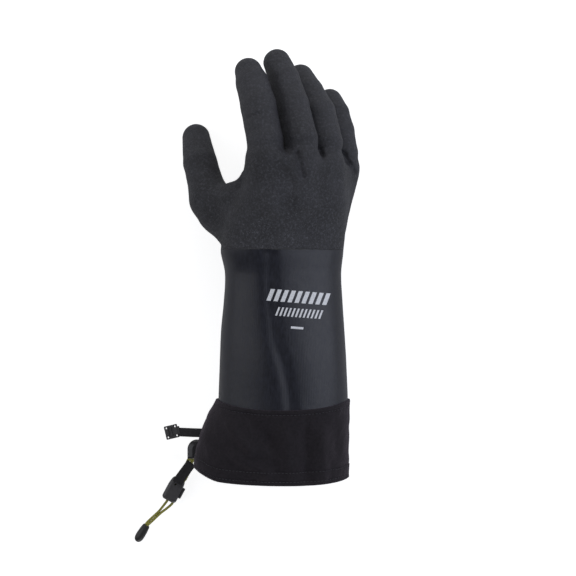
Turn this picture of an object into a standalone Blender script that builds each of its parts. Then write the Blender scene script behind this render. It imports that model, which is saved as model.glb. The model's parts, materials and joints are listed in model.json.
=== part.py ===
"""Insulated cryogenic glove, right hand, lying palm down on a bench.

Frame: metres, +Z up, Z = 0 is the bench. +Y runs from the cuff towards the
fingertips and +X towards the little finger. The origin is on the bench, under
the cuff. The hand is rolled about its length, thumb side up, and the fingers
are slightly curled.

The outer skin and the fleece liner are each one continuous layer on a real
glove. Here both are divided at the knuckles and at the wrist, so that each
length between two bending places is its own rigid solid.

Sizes are in mm. The parts are laid out in their own frame, and the root is
moved at the end so that REST_POINT becomes the origin.
"""

import math
from typing import NamedTuple

import bmesh
import bpy
import numpy as np
from mathutils import Matrix, Vector

MM = 0.001
X_AXIS, Y_AXIS, Z_AXIS = np.eye(3)

SMOOTH_ANGLE = 32.0  # edges sharper than this stay sharp, degrees
SIDES = 12  # facets round a finger
FACETS = 24  # facets round the palm, the gauntlet and the cuff

# ---------------------------------------------------------------- layers and joints
SHELL_WALL = 1.1  # knitted shell with its dipped coat
LAYER_GAP = 0.3  # air between the shell and the liner
LINER_WALL = 2.6  # fleece insulation
LAYERS = (  # name, inset from the outer skin, wall
    ("shell", 0.0, SHELL_WALL),
    ("liner", SHELL_WALL + LAYER_GAP, LINER_WALL),
)
JOINT_GAP = 0.32  # each solid stops this far short of a bending line
CUT_MARGIN = 0.6  # degrees of extra clearance on each face of a fold notch

# ---------------------------------------------------------------- fingers and thumb
HAND_ROLL = 32.0  # roll of the four fingers about +Y, degrees, thumb side up

# Each finger: its place along the knuckle row; the x, y of the web, knuckle,
# middle joint, end joint and tip centre; the half widths across and the half
# heights there; how far the knuckle and the middle joint fold, degrees.
FINGERS = {
    "index": dict(
        place=-59.4,
        xy=[(-13.5, 258.4), (-14.3, 272.6), (-19.6, 301.9), (-25.0, 321.5), (-28.0, 331.0)],
        half_wide=[13.9, 13.9, 13.9, 12.9, 11.0],
        half_high=[15.6, 15.4, 15.4, 13.6, 11.2],
        folds=(44, 52),
    ),
    "middle": dict(
        place=-31.6,
        xy=[(14.5, 259.2), (14.1, 273.8), (7.3, 303.3), (0.9, 325.3), (-4.9, 340.4)],
        half_wide=[13.4, 13.4, 13.3, 12.4, 11.0],
        half_high=[15.6, 15.2, 14.8, 13.2, 11.2],
        folds=(44, 52),
    ),
    "ring": dict(
        place=-3.2,
        xy=[(35.0, 259.2), (34.7, 273.9), (29.5, 299.1), (21.4, 317.3), (14.5, 331.0)],
        half_wide=[13.4, 13.3, 13.1, 12.0, 10.8],
        half_high=[14.8, 14.6, 13.9, 12.5, 11.0],
        folds=(44, 52),
    ),
    "little": dict(
        place=26.6,
        xy=[(49.4, 254.8), (49.6, 268.4), (47.3, 286.7), (43.8, 301.2), (39.4, 312.6)],
        half_wide=[12.4, 12.3, 12.0, 11.4, 10.6],
        half_high=[13.4, 13.0, 12.5, 11.7, 10.8],
        folds=(40, 48),
    ),
}
FINGER_STRAIGHTEN = 10  # how far a finger joint opens beyond the rest pose, degrees
END_JOINT_SHARE = 0.6  # the end joint follows the middle one by this share
FINGER_PARTS = ("base", "middle", "tip")

# The thumb's knuckle, end joint and tip centre; its sizes start at the root.
THUMB_POINTS = [(-60.0, 228.0, 41.0), (-69.0, 259.7, 28.5), (-73.3, 282.3, 12.0)]
THUMB_HALF_WIDE = [16.2, 15.4, 13.6, 11.3]
THUMB_HALF_HIGH = [16.8, 16.0, 14.0, 11.4]
THUMB_STUB = 13.0  # from the thumb's root to its knuckle
THUMB_REST_BEND = 8.0  # bend at the thumb's knuckle at rest, degrees
THUMB_FOLDS = ((15, 30), (10, 55))  # (straighten, fold) at the two joints, degrees
THUMB_PARTS = ("base", "tip")

TIP_DOME = ((0.0, 1.0), (0.5, 0.866), (0.866, 0.5))  # advance and size, shares of tip radius

# The root of a finger inside the palm
ROOT_DEPTH, ROOT_TAPER = 9.0, 0.6  # how far back its small end is, and that end's share
ROOT_SHOULDER = 1.5  # where it reaches full size, past the web
ROOT_OVERRUN = 9.0  # how far a cutter's root runs past the first joint

# ---------------------------------------------------------------- palm
WRIST_Y, WRIST_Z = 187.0, 55.0
WRIST_FOLDS = (20, 25)  # towards the back of the hand, towards the palm, degrees
WRIST_HALF = (50.0, 33.0)
WRIST_ROLL = 18.0
WRIST_POWER = 2.2  # squareness of the wrist's oval
NOTCH_REACH, NOTCH_BACK, NOTCH_HALF_WIDTH = 90.0, 70.0, 120.0  # size of the notch cutter
PALM_OVERLAP = 14.0  # the palm's body runs this far past the wrist before it is cut
CUTTER_OVERLAP = 26.0  # the same for the palm's cutter

KNUCKLE_Y = 257.0
KNUCKLE_MIDDLE = np.array([20.0, 62.0])  # x, z inside the knuckle row
KNUCKLE_ROLL = 40.0
KNUCKLE_SAMPLES = 24  # points round each finger root that shape the knuckle outline
SUPPORT_STEPS, SUPPORT_STEP = 24, 3.0  # directions tried on each side, degrees apart
SUPPORT_FACING = 0.15  # directions facing less than this are left out
SET_BACK = 4.0  # how far the little finger's end of the row lies back
SET_BACK_X, SET_BACK_RUN = 36.0, 16.0  # where the setback starts, and its length in x
PALM_SWELL = 2.0

# Ovals in XZ planes that, with the thumb's root, span the mound at the thumb:
# centre, half sizes, roll.
THUMB_MOUND = (
    ((-38.0, 204.0, 47.0), (20.0, 19.0), -10.0),  # ball of the thumb
    ((-16.0, WRIST_Y + 3.0, WRIST_Z - 3.0), (26.0, 22.0), -10.0),  # heel of the hand
    ((-4.0, 232.0, 70.0), (16.0, 12.0), HAND_ROLL),  # middle of the palm
)
THUMB_ROOT_INSET = 0.4  # the mound meets the thumb's root slightly inside it

# ---------------------------------------------------------------- gauntlet and cuff
SLEEVE_POWER = 2.3  # squareness of the gauntlet's and the cuff's ovals
# Gauntlet sections: y, centre x, centre z, half width, half height, roll.
GAUNTLET = [
    (WRIST_Y, 0.0, WRIST_Z, *WRIST_HALF, WRIST_ROLL),
    (168.0, 0.2, 53.0, 46.6, 33.0, 15.0),
    (146.0, 0.4, 51.0, 47.3, 34.5, 12.0),
    (121.0, -0.2, 48.5, 49.2, 37.0, 8.0),
    (97.0, -0.2, 46.5, 50.8, 39.5, 5.0),
    (61.0, 0.2, 43.5, 52.8, 41.6, 2.0),
]
GAUNTLET_YS = (201.0, 168.0, 146.0, 110.0, 76.0, 61.0)  # rings, from past the wrist to the seam
GAUNTLET_ORIGIN = (0, 124, 0)
SEAM_BOW = 6.0  # how far the seam and the hem dip towards the opening on top
SEAM_FLOOR = 3.4  # height of the sleeve's underside at the seam

CUFF_HEM = 8.6  # y of the cuff's open edge
CUFF_WALL = 1.3
CUFF_SINK = 0.8  # the oval's centre is lowered and its half height raised by this
# Cuff sections: y, centre x, half width, height, height of the underside
CUFF = [
    (60.1, 0.2, 54.0, 86.5, SEAM_FLOOR),
    (48.0, -3.0, 57.0, 87.5, 1.0),
    (34.0, -6.4, 59.6, 88.0, 0.0),
    (20.0, -8.2, 61.4, 88.0, 0.0),
    (CUFF_HEM, -8.8, 62.2, 87.5, 0.0),
]
HEM_WIDTH, HEM_DEPTH = 7.0, 5.0
HEM_WALL, HEM_EDGE = 1.1, 1.2  # the channel's side walls, and its wall at the open edge
HEM_GAP = 0.6  # between the channel and the skirt
HEM_TOP = CUFF_HEM + HEM_WIDTH
DRAWCORD_RADIUS, DRAWCORD_SIDES = 1.0, 6
DRAWCORD_Y = CUFF_HEM + 3.4
# Seam tape, at its corners: y, inset from the cuff's skin, height of the
# underside before the inset.
TAPE_OUT, TAPE_IN = -1.7, -0.4
TAPE_HIGH_Y, TAPE_LOW_Y, TAPE_LOW_FLOOR = 63.4, 57.2, 2.8
SEAM_TAPE = (
    (TAPE_HIGH_Y, TAPE_OUT, SEAM_FLOOR),
    (TAPE_LOW_Y, TAPE_OUT, TAPE_LOW_FLOOR),
    (TAPE_LOW_Y, TAPE_IN, TAPE_LOW_FLOOR),
    (TAPE_HIGH_Y, TAPE_IN, SEAM_FLOOR),
)
SKIRT_ORIGIN, TAPE_ORIGIN = (0, 36, 0), (0, 60, 0)
REST_POINT = (-7.5, 24.0, 0.0)  # on the cuff's flat underside, becomes the model's origin

# ---------------------------------------------------------------- colours
COLOURS = {  # base colour, roughness, metallic
    "hand_coat": ((0.040, 0.042, 0.048), 0.85, 0.0),
    "gauntlet_skin": ((0.030, 0.034, 0.045), 0.42, 0.0),
    "fleece": ((0.62, 0.60, 0.55), 0.95, 0.0),
    "woven": ((0.018, 0.018, 0.021), 0.80, 0.0),
    "binding": ((0.022, 0.022, 0.026), 0.60, 0.0),
    "webbing": ((0.014, 0.014, 0.016), 0.75, 0.0),
    "plastic": ((0.020, 0.020, 0.022), 0.35, 0.0),
    "lock_plastic": ((0.090, 0.092, 0.098), 0.40, 0.0),
    "cord": ((0.330, 0.320, 0.060), 0.75, 0.0),
    "steel": ((0.60, 0.60, 0.61), 0.25, 1.0),
    "elastic": ((0.030, 0.030, 0.030), 0.70, 0.0),
}


def material(name):
    found = bpy.data.materials.get(name)
    if found:
        return found
    colour, roughness, metallic = COLOURS[name]
    made = bpy.data.materials.new(name)
    made.use_nodes = True
    shader = made.node_tree.nodes["Principled BSDF"]
    shader.inputs["Base Color"].default_value = (*colour, 1.0)
    shader.inputs["Roughness"].default_value = roughness
    shader.inputs["Metallic"].default_value = metallic
    made.diffuse_color = (*colour, 1.0)
    return made


# ---------------------------------------------------------------- small maths
def unit(vector):
    vector = np.asarray(vector, float)
    return vector / np.linalg.norm(vector)


def rolled(degrees):
    """Across and up directions rolled about +Y, the -X side going up."""
    angle = math.radians(degrees)
    across = np.array([math.cos(angle), 0.0, -math.sin(angle)])
    up = np.array([math.sin(angle), 0.0, math.cos(angle)])
    return across, up


def section(centre, across, up, half_wide, half_high, count, power=2.0):
    """Points of an oval round centre, first point on +across. A higher power is squarer."""
    exponent = 2.0 / power
    points = []
    for k in range(count):
        angle = 2 * math.pi * k / count
        c, s = math.cos(angle), math.sin(angle)
        points.append(
            np.asarray(centre, float)
            + across * half_wide * math.copysign(abs(c) ** exponent, c)
            + up * half_high * math.copysign(abs(s) ** exponent, s)
        )
    return points


def row_at(rows, y):
    """A table's row at y, between its stations. Above the table its first row holds."""
    y = min(y, rows[0][0])
    for above, below in zip(rows, rows[1:]):
        if y >= below[0]:
            share = (above[0] - y) / (above[0] - below[0])
            return [p + (q - p) * share for p, q in zip(above, below)]
    raise ValueError(f"y = {y} is below the table")


# ---------------------------------------------------------------- scene helpers
def place(obj, point, parent):
    """Link an object, hang it from parent and put its origin at point."""
    bpy.context.scene.collection.objects.link(obj)
    if parent:
        obj.parent = parent
        obj.matrix_parent_inverse = parent.matrix_world.inverted()
    obj.matrix_world = Matrix.Translation(Vector(point) * MM)
    return obj


def finish(name, mesh, mat, origin, parent):
    """The mesh, given in mm in layout axes, as an object whose origin is at origin."""
    mesh.transform(Matrix.Translation(-Vector(origin)))
    mesh.transform(Matrix.Scale(MM, 4))
    mesh.name = name
    mesh.materials.clear()
    mesh.materials.append(material(mat))
    mesh.shade_smooth()
    mesh.set_sharp_from_angle(angle=math.radians(SMOOTH_ANGLE))
    return place(bpy.data.objects.new(name, mesh), origin, parent)


def add_layers(name, make_mesh, shell_mat, origin, parent):
    """Shell and liner of one piece. make_mesh takes an inset and a wall."""
    for layer, inset, wall in LAYERS:
        mat = shell_mat if layer == "shell" else "fleece"
        finish(f"{name}_{layer}", make_mesh(inset, wall), mat, origin, parent)


def pivot(name, point, parent=None):
    """An empty on a joint's axis."""
    empty = bpy.data.objects.new(name, None)
    empty.empty_display_size = 0.01
    place(empty, point, parent)
    bpy.context.view_layer.update()
    return empty


# ---------------------------------------------------------------- mesh helpers
def to_mesh(bm):
    """A triangle mesh with its normals facing out."""
    bmesh.ops.triangulate(bm, faces=bm.faces[:])
    bmesh.ops.recalc_face_normals(bm, faces=bm.faces[:])
    if bm.calc_volume(signed=True) < 0:
        bmesh.ops.reverse_faces(bm, faces=bm.faces[:])
    mesh = bpy.data.meshes.new("shape")
    bm.to_mesh(mesh)
    bm.free()
    return mesh


def add_loops(bm, rings):
    return [[bm.verts.new(Vector(p)) for p in ring] for ring in rings]


def bridge(bm, first, second):
    """Quads between two loops of equal length."""
    count = len(first)
    for k in range(count):
        j = (k + 1) % count
        bm.faces.new((first[k], first[j], second[j], second[k]))


def fan(bm, loop, pole):
    """Triangles from a loop to a pole."""
    top = bm.verts.new(Vector(pole))
    for k in range(len(loop)):
        bm.faces.new((loop[k], loop[(k + 1) % len(loop)], top))


def rings_mesh(rings, cyclic=False, end_pole=None):
    """A closed surface through rings of equal length. An end without a pole is flat."""
    bm = bmesh.new()
    loops = add_loops(bm, rings)
    for first, second in zip(loops, loops[1:]):
        bridge(bm, first, second)
    if cyclic:
        bridge(bm, loops[-1], loops[0])
    else:
        bm.faces.new(loops[0])
        if end_pole is None:
            bm.faces.new(loops[-1])
        else:
            fan(bm, loops[-1], end_pole)
    return to_mesh(bm)


def thimble_mesh(outer, outer_pole, inner, inner_pole):
    """Two domed surfaces joined at their open ends."""
    bm = bmesh.new()
    outer_loops, inner_loops = add_loops(bm, outer), add_loops(bm, inner)
    for loops, pole in ((outer_loops, outer_pole), (inner_loops, inner_pole)):
        for first, second in zip(loops, loops[1:]):
            bridge(bm, first, second)
        fan(bm, loops[-1], pole)
    bridge(bm, outer_loops[0], inner_loops[0])
    return to_mesh(bm)


def hull_mesh(points):
    bm = bmesh.new()
    for p in points:
        bm.verts.new(Vector(p))
    made = bmesh.ops.convex_hull(bm, input=bm.verts[:])
    leftover = made["geom_interior"] + made["geom_unused"]
    spare = {item for item in leftover if isinstance(item, bmesh.types.BMVert)}
    if spare:
        bmesh.ops.delete(bm, geom=list(spare), context="VERTS")
    return to_mesh(bm)


def box_mesh(centre, half, axes):
    """A block with its half sizes along three unit axes."""
    corners = []
    for i in (-1, 1):
        for j in (-1, 1):
            for k in (-1, 1):
                offset = i * half[0] * axes[0] + j * half[1] * axes[1] + k * half[2] * axes[2]
                corners.append(centre + offset)
    return hull_mesh(corners)


def cylinder_mesh(start, end, across, up, radius, sides):
    return rings_mesh([section(p, across, up, radius, radius, sides) for p in (start, end)])


def ribbon_mesh(centres, side, up, width, thick):
    """A flat strip through a row of centres."""
    corners = ((-1, -1), (1, -1), (1, 1), (-1, 1))
    return rings_mesh([
        [c + side * j * width / 2 + up * i * thick / 2 for j, i in corners] for c in centres
    ])


def rod_mesh(path, radius, sides):
    """A round bar along a path, with flat ends."""
    rings = []
    side = None
    for i, p in enumerate(path):
        along = unit(path[min(i + 1, len(path) - 1)] - path[max(i - 1, 0)])
        if side is None:
            seed = Z_AXIS if abs(along[2]) < 0.9 else X_AXIS
            side = unit(np.cross(seed, along))
        # carry the side over from the last ring, so that the bar doesn't twist
        side = unit(side - np.dot(side, along) * along)
        rings.append(section(p, side, np.cross(along, side), radius, radius, sides))
    return rings_mesh(rings)


def combine(base, others, operation, solver="EXACT"):
    """base joined with, or cut by, each of others."""
    holder = bpy.data.objects.new("holder", base)
    bpy.context.scene.collection.objects.link(holder)
    helpers = []
    for mesh in others:
        helper = bpy.data.objects.new("helper", mesh)
        bpy.context.scene.collection.objects.link(helper)
        helper.hide_render = True
        helper.display_type = "WIRE"
        helpers.append(helper)
        step = holder.modifiers.new("step", "BOOLEAN")
        step.operation = operation
        step.solver = solver
        step.object = helper
    bpy.context.view_layer.update()
    graph = bpy.context.evaluated_depsgraph_get()
    result = bpy.data.meshes.new_from_object(holder.evaluated_get(graph))
    for used in [holder] + helpers:
        bpy.data.objects.remove(used)
    return result


# ---------------------------------------------------------------- finger chains
class Chain(NamedTuple):
    """A finger or the thumb, from its root to its tip centre."""

    points: list
    across: np.ndarray  # hinge direction, square to the bending plane
    half_wide: list
    half_high: list
    folds: tuple  # (straighten, fold) at each joint beyond the rest pose, degrees


def finger_chain(name):
    finger = FINGERS[name]
    roll = math.radians(HAND_ROLL)
    # z puts every point in the finger's own bending plane
    points = [
        np.array([x, y, (x * math.cos(roll) - finger["place"]) / math.sin(roll)])
        for x, y in finger["xy"]
    ]
    knuckle, middle = finger["folds"]
    folds = (
        (FINGER_STRAIGHTEN, knuckle),
        (FINGER_STRAIGHTEN, middle),
        (END_JOINT_SHARE * FINGER_STRAIGHTEN, END_JOINT_SHARE * middle),
    )
    return Chain(points, rolled(HAND_ROLL)[0], finger["half_wide"], finger["half_high"], folds)


def thumb_chain():
    points = [np.array(p) for p in THUMB_POINTS]
    first, second = unit(points[1] - points[0]), unit(points[2] - points[1])
    across = unit(np.cross(second, first))
    bend = math.radians(THUMB_REST_BEND)
    root_heading = first * math.cos(bend) + np.cross(across, first) * math.sin(bend)
    points.insert(0, points[0] - root_heading * THUMB_STUB)
    return Chain(points, across, THUMB_HALF_WIDE, THUMB_HALF_HIGH, THUMB_FOLDS)


def heading(chain, i):
    """Direction from point i to the next."""
    return unit(chain.points[i + 1] - chain.points[i])


def chain_ring(chain, i, along, inset, shift=0.0, share=1.0, count=SIDES):
    """An oval square to along, shifted along it from point i and scaled by share."""
    return section(
        chain.points[i] + along * shift,
        chain.across,
        np.cross(chain.across, along),
        (chain.half_wide[i] - inset) * share,
        (chain.half_high[i] - inset) * share,
        count,
    )


def notch_slopes(chain, joint):
    """Slopes of a solid's end at a joint: (back of the finger, palm side)."""
    cosine = float(np.dot(heading(chain, joint - 1), heading(chain, joint)))
    rest = math.degrees(math.acos(max(-1.0, min(1.0, cosine))))
    straighten, fold = chain.folds[joint - 1]
    back = (straighten - rest) / 2 + CUT_MARGIN
    palm = (fold + rest) / 2 + CUT_MARGIN
    return math.tan(math.radians(back)), math.tan(math.radians(palm))


def notch_ring(chain, joint, along, inset, sense):
    """A ring whose points slide along a finger onto the two faces of a fold notch."""
    back, palm = notch_slopes(chain, joint)
    up = np.cross(chain.across, along)
    ring = []
    for p in chain_ring(chain, joint, along, inset):
        rise = float(np.dot(p - chain.points[joint], up))
        slope = back if rise > 0 else palm
        ring.append(p + along * sense * (JOINT_GAP + slope * abs(rise)))
    return ring


def segment_mesh(chain, i, inset, wall):
    """The hollow length of a finger from joint i to the next joint, or to the tip."""
    along = heading(chain, i)
    end = i + 1
    is_tip = end == len(chain.points) - 1
    surfaces, poles = [], []
    for depth in (inset, inset + wall):
        rings = [notch_ring(chain, i, along, depth, 1)]
        if is_tip:
            radius = 0.5 * (chain.half_wide[end] + chain.half_high[end]) - depth
            for advance, share in TIP_DOME:
                rings.append(chain_ring(chain, end, along, depth, advance * radius, share))
            poles.append(chain.points[end] + along * radius)
        else:
            rings.append(notch_ring(chain, end, along, depth, -1))
        surfaces.append(rings)
    outer, inner = surfaces
    if is_tip:
        return thimble_mesh(outer, poles[0], inner, poles[1])
    return rings_mesh(outer + inner[::-1], cyclic=True)


def root_mesh(chain, inset, cutter):
    """The root of a finger, from inside the palm to its fold notch. A cutter runs past it."""
    along = heading(chain, 0)
    if cutter:
        last = chain_ring(chain, 1, along, inset, ROOT_OVERRUN)
    else:
        last = notch_ring(chain, 1, along, inset, -1)
    return rings_mesh([
        chain_ring(chain, 0, along, inset, -ROOT_DEPTH, ROOT_TAPER),
        chain_ring(chain, 0, along, inset, ROOT_SHOULDER),
        last,
    ])


# ---------------------------------------------------------------- palm
def wrist_ring(y, inset):
    half_wide, half_high = (half - inset for half in WRIST_HALF)
    centre = (0.0, y, WRIST_Z)
    return section(centre, *rolled(WRIST_ROLL), half_wide, half_high, FACETS, WRIST_POWER)


def knuckle_ring(fingers, inset):
    """Outline round the roots of all four fingers, sampled at even angles about its middle."""
    cloud = []
    for chain in fingers:
        ring = chain_ring(chain, 0, heading(chain, 0), inset, count=KNUCKLE_SAMPLES)
        cloud += [p[[0, 2]] for p in ring]
    cloud = np.array(cloud)
    across, up = rolled(KNUCKLE_ROLL)

    def direction(angle):
        return (across * math.cos(angle) + up * math.sin(angle))[[0, 2]]

    outline = []
    for k in range(FACETS):
        angle = 2 * math.pi * k / FACETS
        way = direction(angle)
        # the outline's support along nearby directions gives the distance to its hull
        reach = math.inf
        for j in range(-SUPPORT_STEPS, SUPPORT_STEPS + 1):
            normal = direction(angle + math.radians(SUPPORT_STEP * j))
            facing = float(np.dot(normal, way))
            if facing > SUPPORT_FACING:
                support = (cloud @ normal).max() - np.dot(normal, KNUCKLE_MIDDLE)
                reach = min(reach, float(support) / facing)
        x, z = KNUCKLE_MIDDLE + way * reach
        share = max(0.0, min(1.0, (x - SET_BACK_X) / SET_BACK_RUN))
        outline.append(np.array([x, KNUCKLE_Y - SET_BACK * share - inset, z]))
    return outline


def palm_body(fingers, inset, cutter):
    """The palm from the wrist to the knuckles, swollen halfway."""
    far = knuckle_ring(fingers, inset)
    near = wrist_ring(WRIST_Y, inset)
    overlap = CUTTER_OVERLAP if cutter else PALM_OVERLAP
    rings = [wrist_ring(WRIST_Y - overlap, inset), near]
    for share in (0.5, 1.0):
        swell = PALM_SWELL * math.sin(math.pi * share)
        ring = [p + (q - p) * share for p, q in zip(near, far)]
        centre = np.mean(ring, axis=0)
        rings.append([p + unit((p - centre) * (1.0, 0.0, 1.0)) * swell for p in ring])
    return rings_mesh(rings)


def thumb_mound(thumb, inset):
    root = chain_ring(thumb, 0, heading(thumb, 0), inset + THUMB_ROOT_INSET)
    ball, heel, middle = (
        section(centre, *rolled(roll), half_wide - inset, half_high - inset, SIDES)
        for centre, (half_wide, half_high), roll in THUMB_MOUND
    )
    return hull_mesh(ball + root + heel + middle)


def palm_solid(fingers, thumb, inset, cutter):
    """The palm's outline at a given inset. A cutter runs past both of its ends."""
    bodies = [thumb_mound(thumb, inset)]
    bodies += [root_mesh(chain, inset, cutter) for chain in [*fingers, thumb]]
    return combine(palm_body(fingers, inset, cutter), bodies, "UNION", "MANIFOLD")


def wrist_notch(side):
    """Cutter with the wrist's notch faces: +1 keeps the hand, -1 keeps the gauntlet."""
    back, palm = (
        math.tan(math.radians(fold / 2 + CUT_MARGIN)) * NOTCH_REACH for fold in WRIST_FOLDS
    )
    y = WRIST_Y + side * JOINT_GAP
    y_far = WRIST_Y - side * NOTCH_BACK
    top, bottom = WRIST_Z + NOTCH_REACH, WRIST_Z - NOTCH_REACH
    outline = [
        (y, WRIST_Z),
        (y + side * back, top),
        (y_far, top),
        (y_far, bottom),
        (y + side * palm, bottom),
    ]
    return rings_mesh([
        [(x, *point) for point in outline] for x in (-NOTCH_HALF_WIDTH, NOTCH_HALF_WIDTH)
    ])


def palm_layer(fingers, thumb, inset, wall):
    outer = palm_solid(fingers, thumb, inset, False)
    inner = palm_solid(fingers, thumb, inset + wall, True)
    return combine(outer, [inner, wrist_notch(1)], "DIFFERENCE", "MANIFOLD")


# ---------------------------------------------------------------- gauntlet and cuff
def bow(rise):
    """How far the seam dips at a height above the centre, as a share of the half height."""
    return SEAM_BOW * max(0.0, rise) ** 2


def gauntlet_ring(y, inset, bowed):
    _, cx, cz, half_wide, half_high, roll = row_at(GAUNTLET, y)
    ring = section(
        (cx, y, cz), *rolled(roll), half_wide - inset, half_high - inset, FACETS, SLEEVE_POWER
    )
    for p in ring:
        if bowed:
            p[1] -= bow((p[2] - cz) / half_high)
        p[2] = max(p[2], SEAM_FLOOR + inset)
    return ring


def gauntlet_layer(inset, wall):
    outer, inner = (
        [gauntlet_ring(y, depth, bowed=y == GAUNTLET_YS[-1]) for y in GAUNTLET_YS]
        for depth in (inset, inset + wall)
    )
    tube = rings_mesh(outer + inner[::-1], cyclic=True)
    return combine(tube, [wrist_notch(-1)], "DIFFERENCE", "MANIFOLD")


def cuff_ring(y, inset, floor=None):
    """A section of the cuff: an oval with a flat underside, at the table's height or floor."""
    _, cx, half_wide, height, table_floor = row_at(CUFF, y)
    if floor is None:
        floor = table_floor
    cz, half_high = height / 2 - CUFF_SINK, height / 2 + CUFF_SINK
    ring = section(
        (cx, y, cz), X_AXIS, Z_AXIS, half_wide - inset, half_high - inset, FACETS, SLEEVE_POWER
    )
    for p in ring:
        p[1] -= bow((p[2] - cz) / half_high)
        p[2] = max(p[2], floor + inset)
    return ring


def band(stations):
    """A closed ring of wall round the cuff, from the cuff_ring arguments of each corner."""
    return rings_mesh([cuff_ring(*station) for station in stations], cyclic=True)


def add_cuff_skirt(root):
    ys = [row[0] for row in CUFF[:3]] + [HEM_TOP + HEM_GAP]
    stations = [(y, 0.0) for y in ys] + [(y, CUFF_WALL) for y in ys[::-1]]
    finish("cuff_skirt", band(stations), "woven", SKIRT_ORIGIN, root)


def add_seam_binding(root):
    """Flat tape over the seam, outside both layers."""
    finish("cuff_seam_binding", band(SEAM_TAPE), "binding", TAPE_ORIGIN, root)


def add_hem(root):
    """The hem's channel, open towards the gauntlet, and the drawcord in it."""
    origin = (0, CUFF_HEM, 0)
    channel = (
        (HEM_TOP, 0.0),
        (CUFF_HEM, 0.0),
        (CUFF_HEM, HEM_DEPTH),
        (HEM_TOP, HEM_DEPTH),
        (HEM_TOP, HEM_DEPTH - HEM_WALL),
        (CUFF_HEM + HEM_EDGE, HEM_DEPTH - HEM_WALL),
        (CUFF_HEM + HEM_EDGE, HEM_WALL),
        (HEM_TOP, HEM_WALL),
    )
    finish("hem_channel", band(channel), "woven", origin, root)
    angles = [2 * math.pi * k / DRAWCORD_SIDES for k in range(DRAWCORD_SIDES)]
    drawcord = [
        (
            DRAWCORD_Y + DRAWCORD_RADIUS * math.cos(angle),
            HEM_DEPTH / 2 + DRAWCORD_RADIUS * math.sin(angle),
        )
        for angle in angles
    ]
    finish("hem_drawcord", band(drawcord), "elastic", origin, root)


# ---------------------------------------------------------------- strap and clip
STRAP_WIDTH, STRAP_THICK, STRAP_LENGTH = 7.4, 1.4, 24.0
STRAP_ROOT = np.array([-63.6, 34.8, 25.0])
STRAP_DROP = 22.0  # degrees below level
STRAP_START = 0.4  # gap between the pivot and the webbing
STRAP_ARCH = 1.2  # rise of the webbing halfway
STRAP_STEPS = 5
CLIP_HINGE_GAP = 1.6  # the clip's hinge lies this far past the strap's length
CLIP_SIZE, CLIP_THICK, CLIP_OFFSET = 11.4, 2.2, 0.9
CLIP_TWIST = 14.0  # degrees, in the plate's own plane
CLIP_LEVEL = 0.4  # share of level in the clip's direction, the rest follows the strap
CLIP_HOLE, CLIP_HOLE_AT, CLIP_HOLE_SIDES = 1.3, 3.9, 8
CLIP_SLOT_AT, CLIP_SLOT_HALF = 1.45, (0.65, 3.6)
CLIP_CUT = 3.0  # half depth of the clip's cutters


def clip_mesh(hinge, strap_out):
    """A square plate with a round hole near each corner and two slots."""
    out = unit(strap_out * (1 - CLIP_LEVEL) - X_AXIS * CLIP_LEVEL)
    twist = math.radians(CLIP_TWIST)
    along = unit(out * math.cos(twist) - Y_AXIS * math.sin(twist))
    side = unit(out * math.sin(twist) + Y_AXIS * math.cos(twist))
    normal = unit(np.cross(side, along))
    axes = (along, side, normal)
    centre = hinge + out * (CLIP_SIZE / 2 + CLIP_OFFSET)
    plate = box_mesh(centre, (CLIP_SIZE / 2, CLIP_SIZE / 2, CLIP_THICK / 2), axes)
    reach = normal * CLIP_CUT
    cutters = []
    for i in (-1, 1):
        for j in (-1, 1):
            p = centre + along * i * CLIP_HOLE_AT + side * j * CLIP_HOLE_AT
            cutters.append(
                cylinder_mesh(p - reach, p + reach, along, side, CLIP_HOLE / 2, CLIP_HOLE_SIDES)
            )
    for i in (-1, 1):
        p = centre + along * i * CLIP_SLOT_AT
        cutters.append(box_mesh(p, (*CLIP_SLOT_HALF, CLIP_CUT), axes))
    return combine(plate, cutters, "DIFFERENCE", "MANIFOLD")


def add_strap(root):
    drop = math.radians(STRAP_DROP)
    out = np.array([-math.cos(drop), 0.0, -math.sin(drop)])
    lift = np.array([-math.sin(drop), 0.0, math.cos(drop)])
    strap = pivot("strap_pivot", STRAP_ROOT, root)
    centres = []
    for k in range(STRAP_STEPS + 1):
        share = k / STRAP_STEPS
        arch = lift * (STRAP_ARCH * math.sin(math.pi * share))
        centres.append(STRAP_ROOT + out * (STRAP_LENGTH * share + STRAP_START) + arch)
    webbing = ribbon_mesh(centres, Y_AXIS, lift, STRAP_WIDTH, STRAP_THICK)
    finish("strap_webbing", webbing, "webbing", STRAP_ROOT, strap)

    hinge = STRAP_ROOT + out * (STRAP_LENGTH + CLIP_HINGE_GAP)
    clip = pivot("clip_pivot", hinge, strap)
    finish("strap_clip", clip_mesh(hinge, out), "plastic", hinge, clip)


# ---------------------------------------------------------------- cord outlet
OUTLET_CENTRE = np.array([-72.0, 21.4, 24.0])
OUTLET_RADIUS, OUTLET_HEIGHT = 7.6, 9.0
OUTLET_START, OUTLET_SWEEP, OUTLET_STEPS = 76, 208, 14  # the arc, degrees, and its steps
OUTLET_BORE, OUTLET_BORE_SIDES, OUTLET_BORE_X = 1.6, 12, -1.6
OUTLET_BORE_YS = (-14, 2)  # the bore's ends, from the outlet's centre


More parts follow.
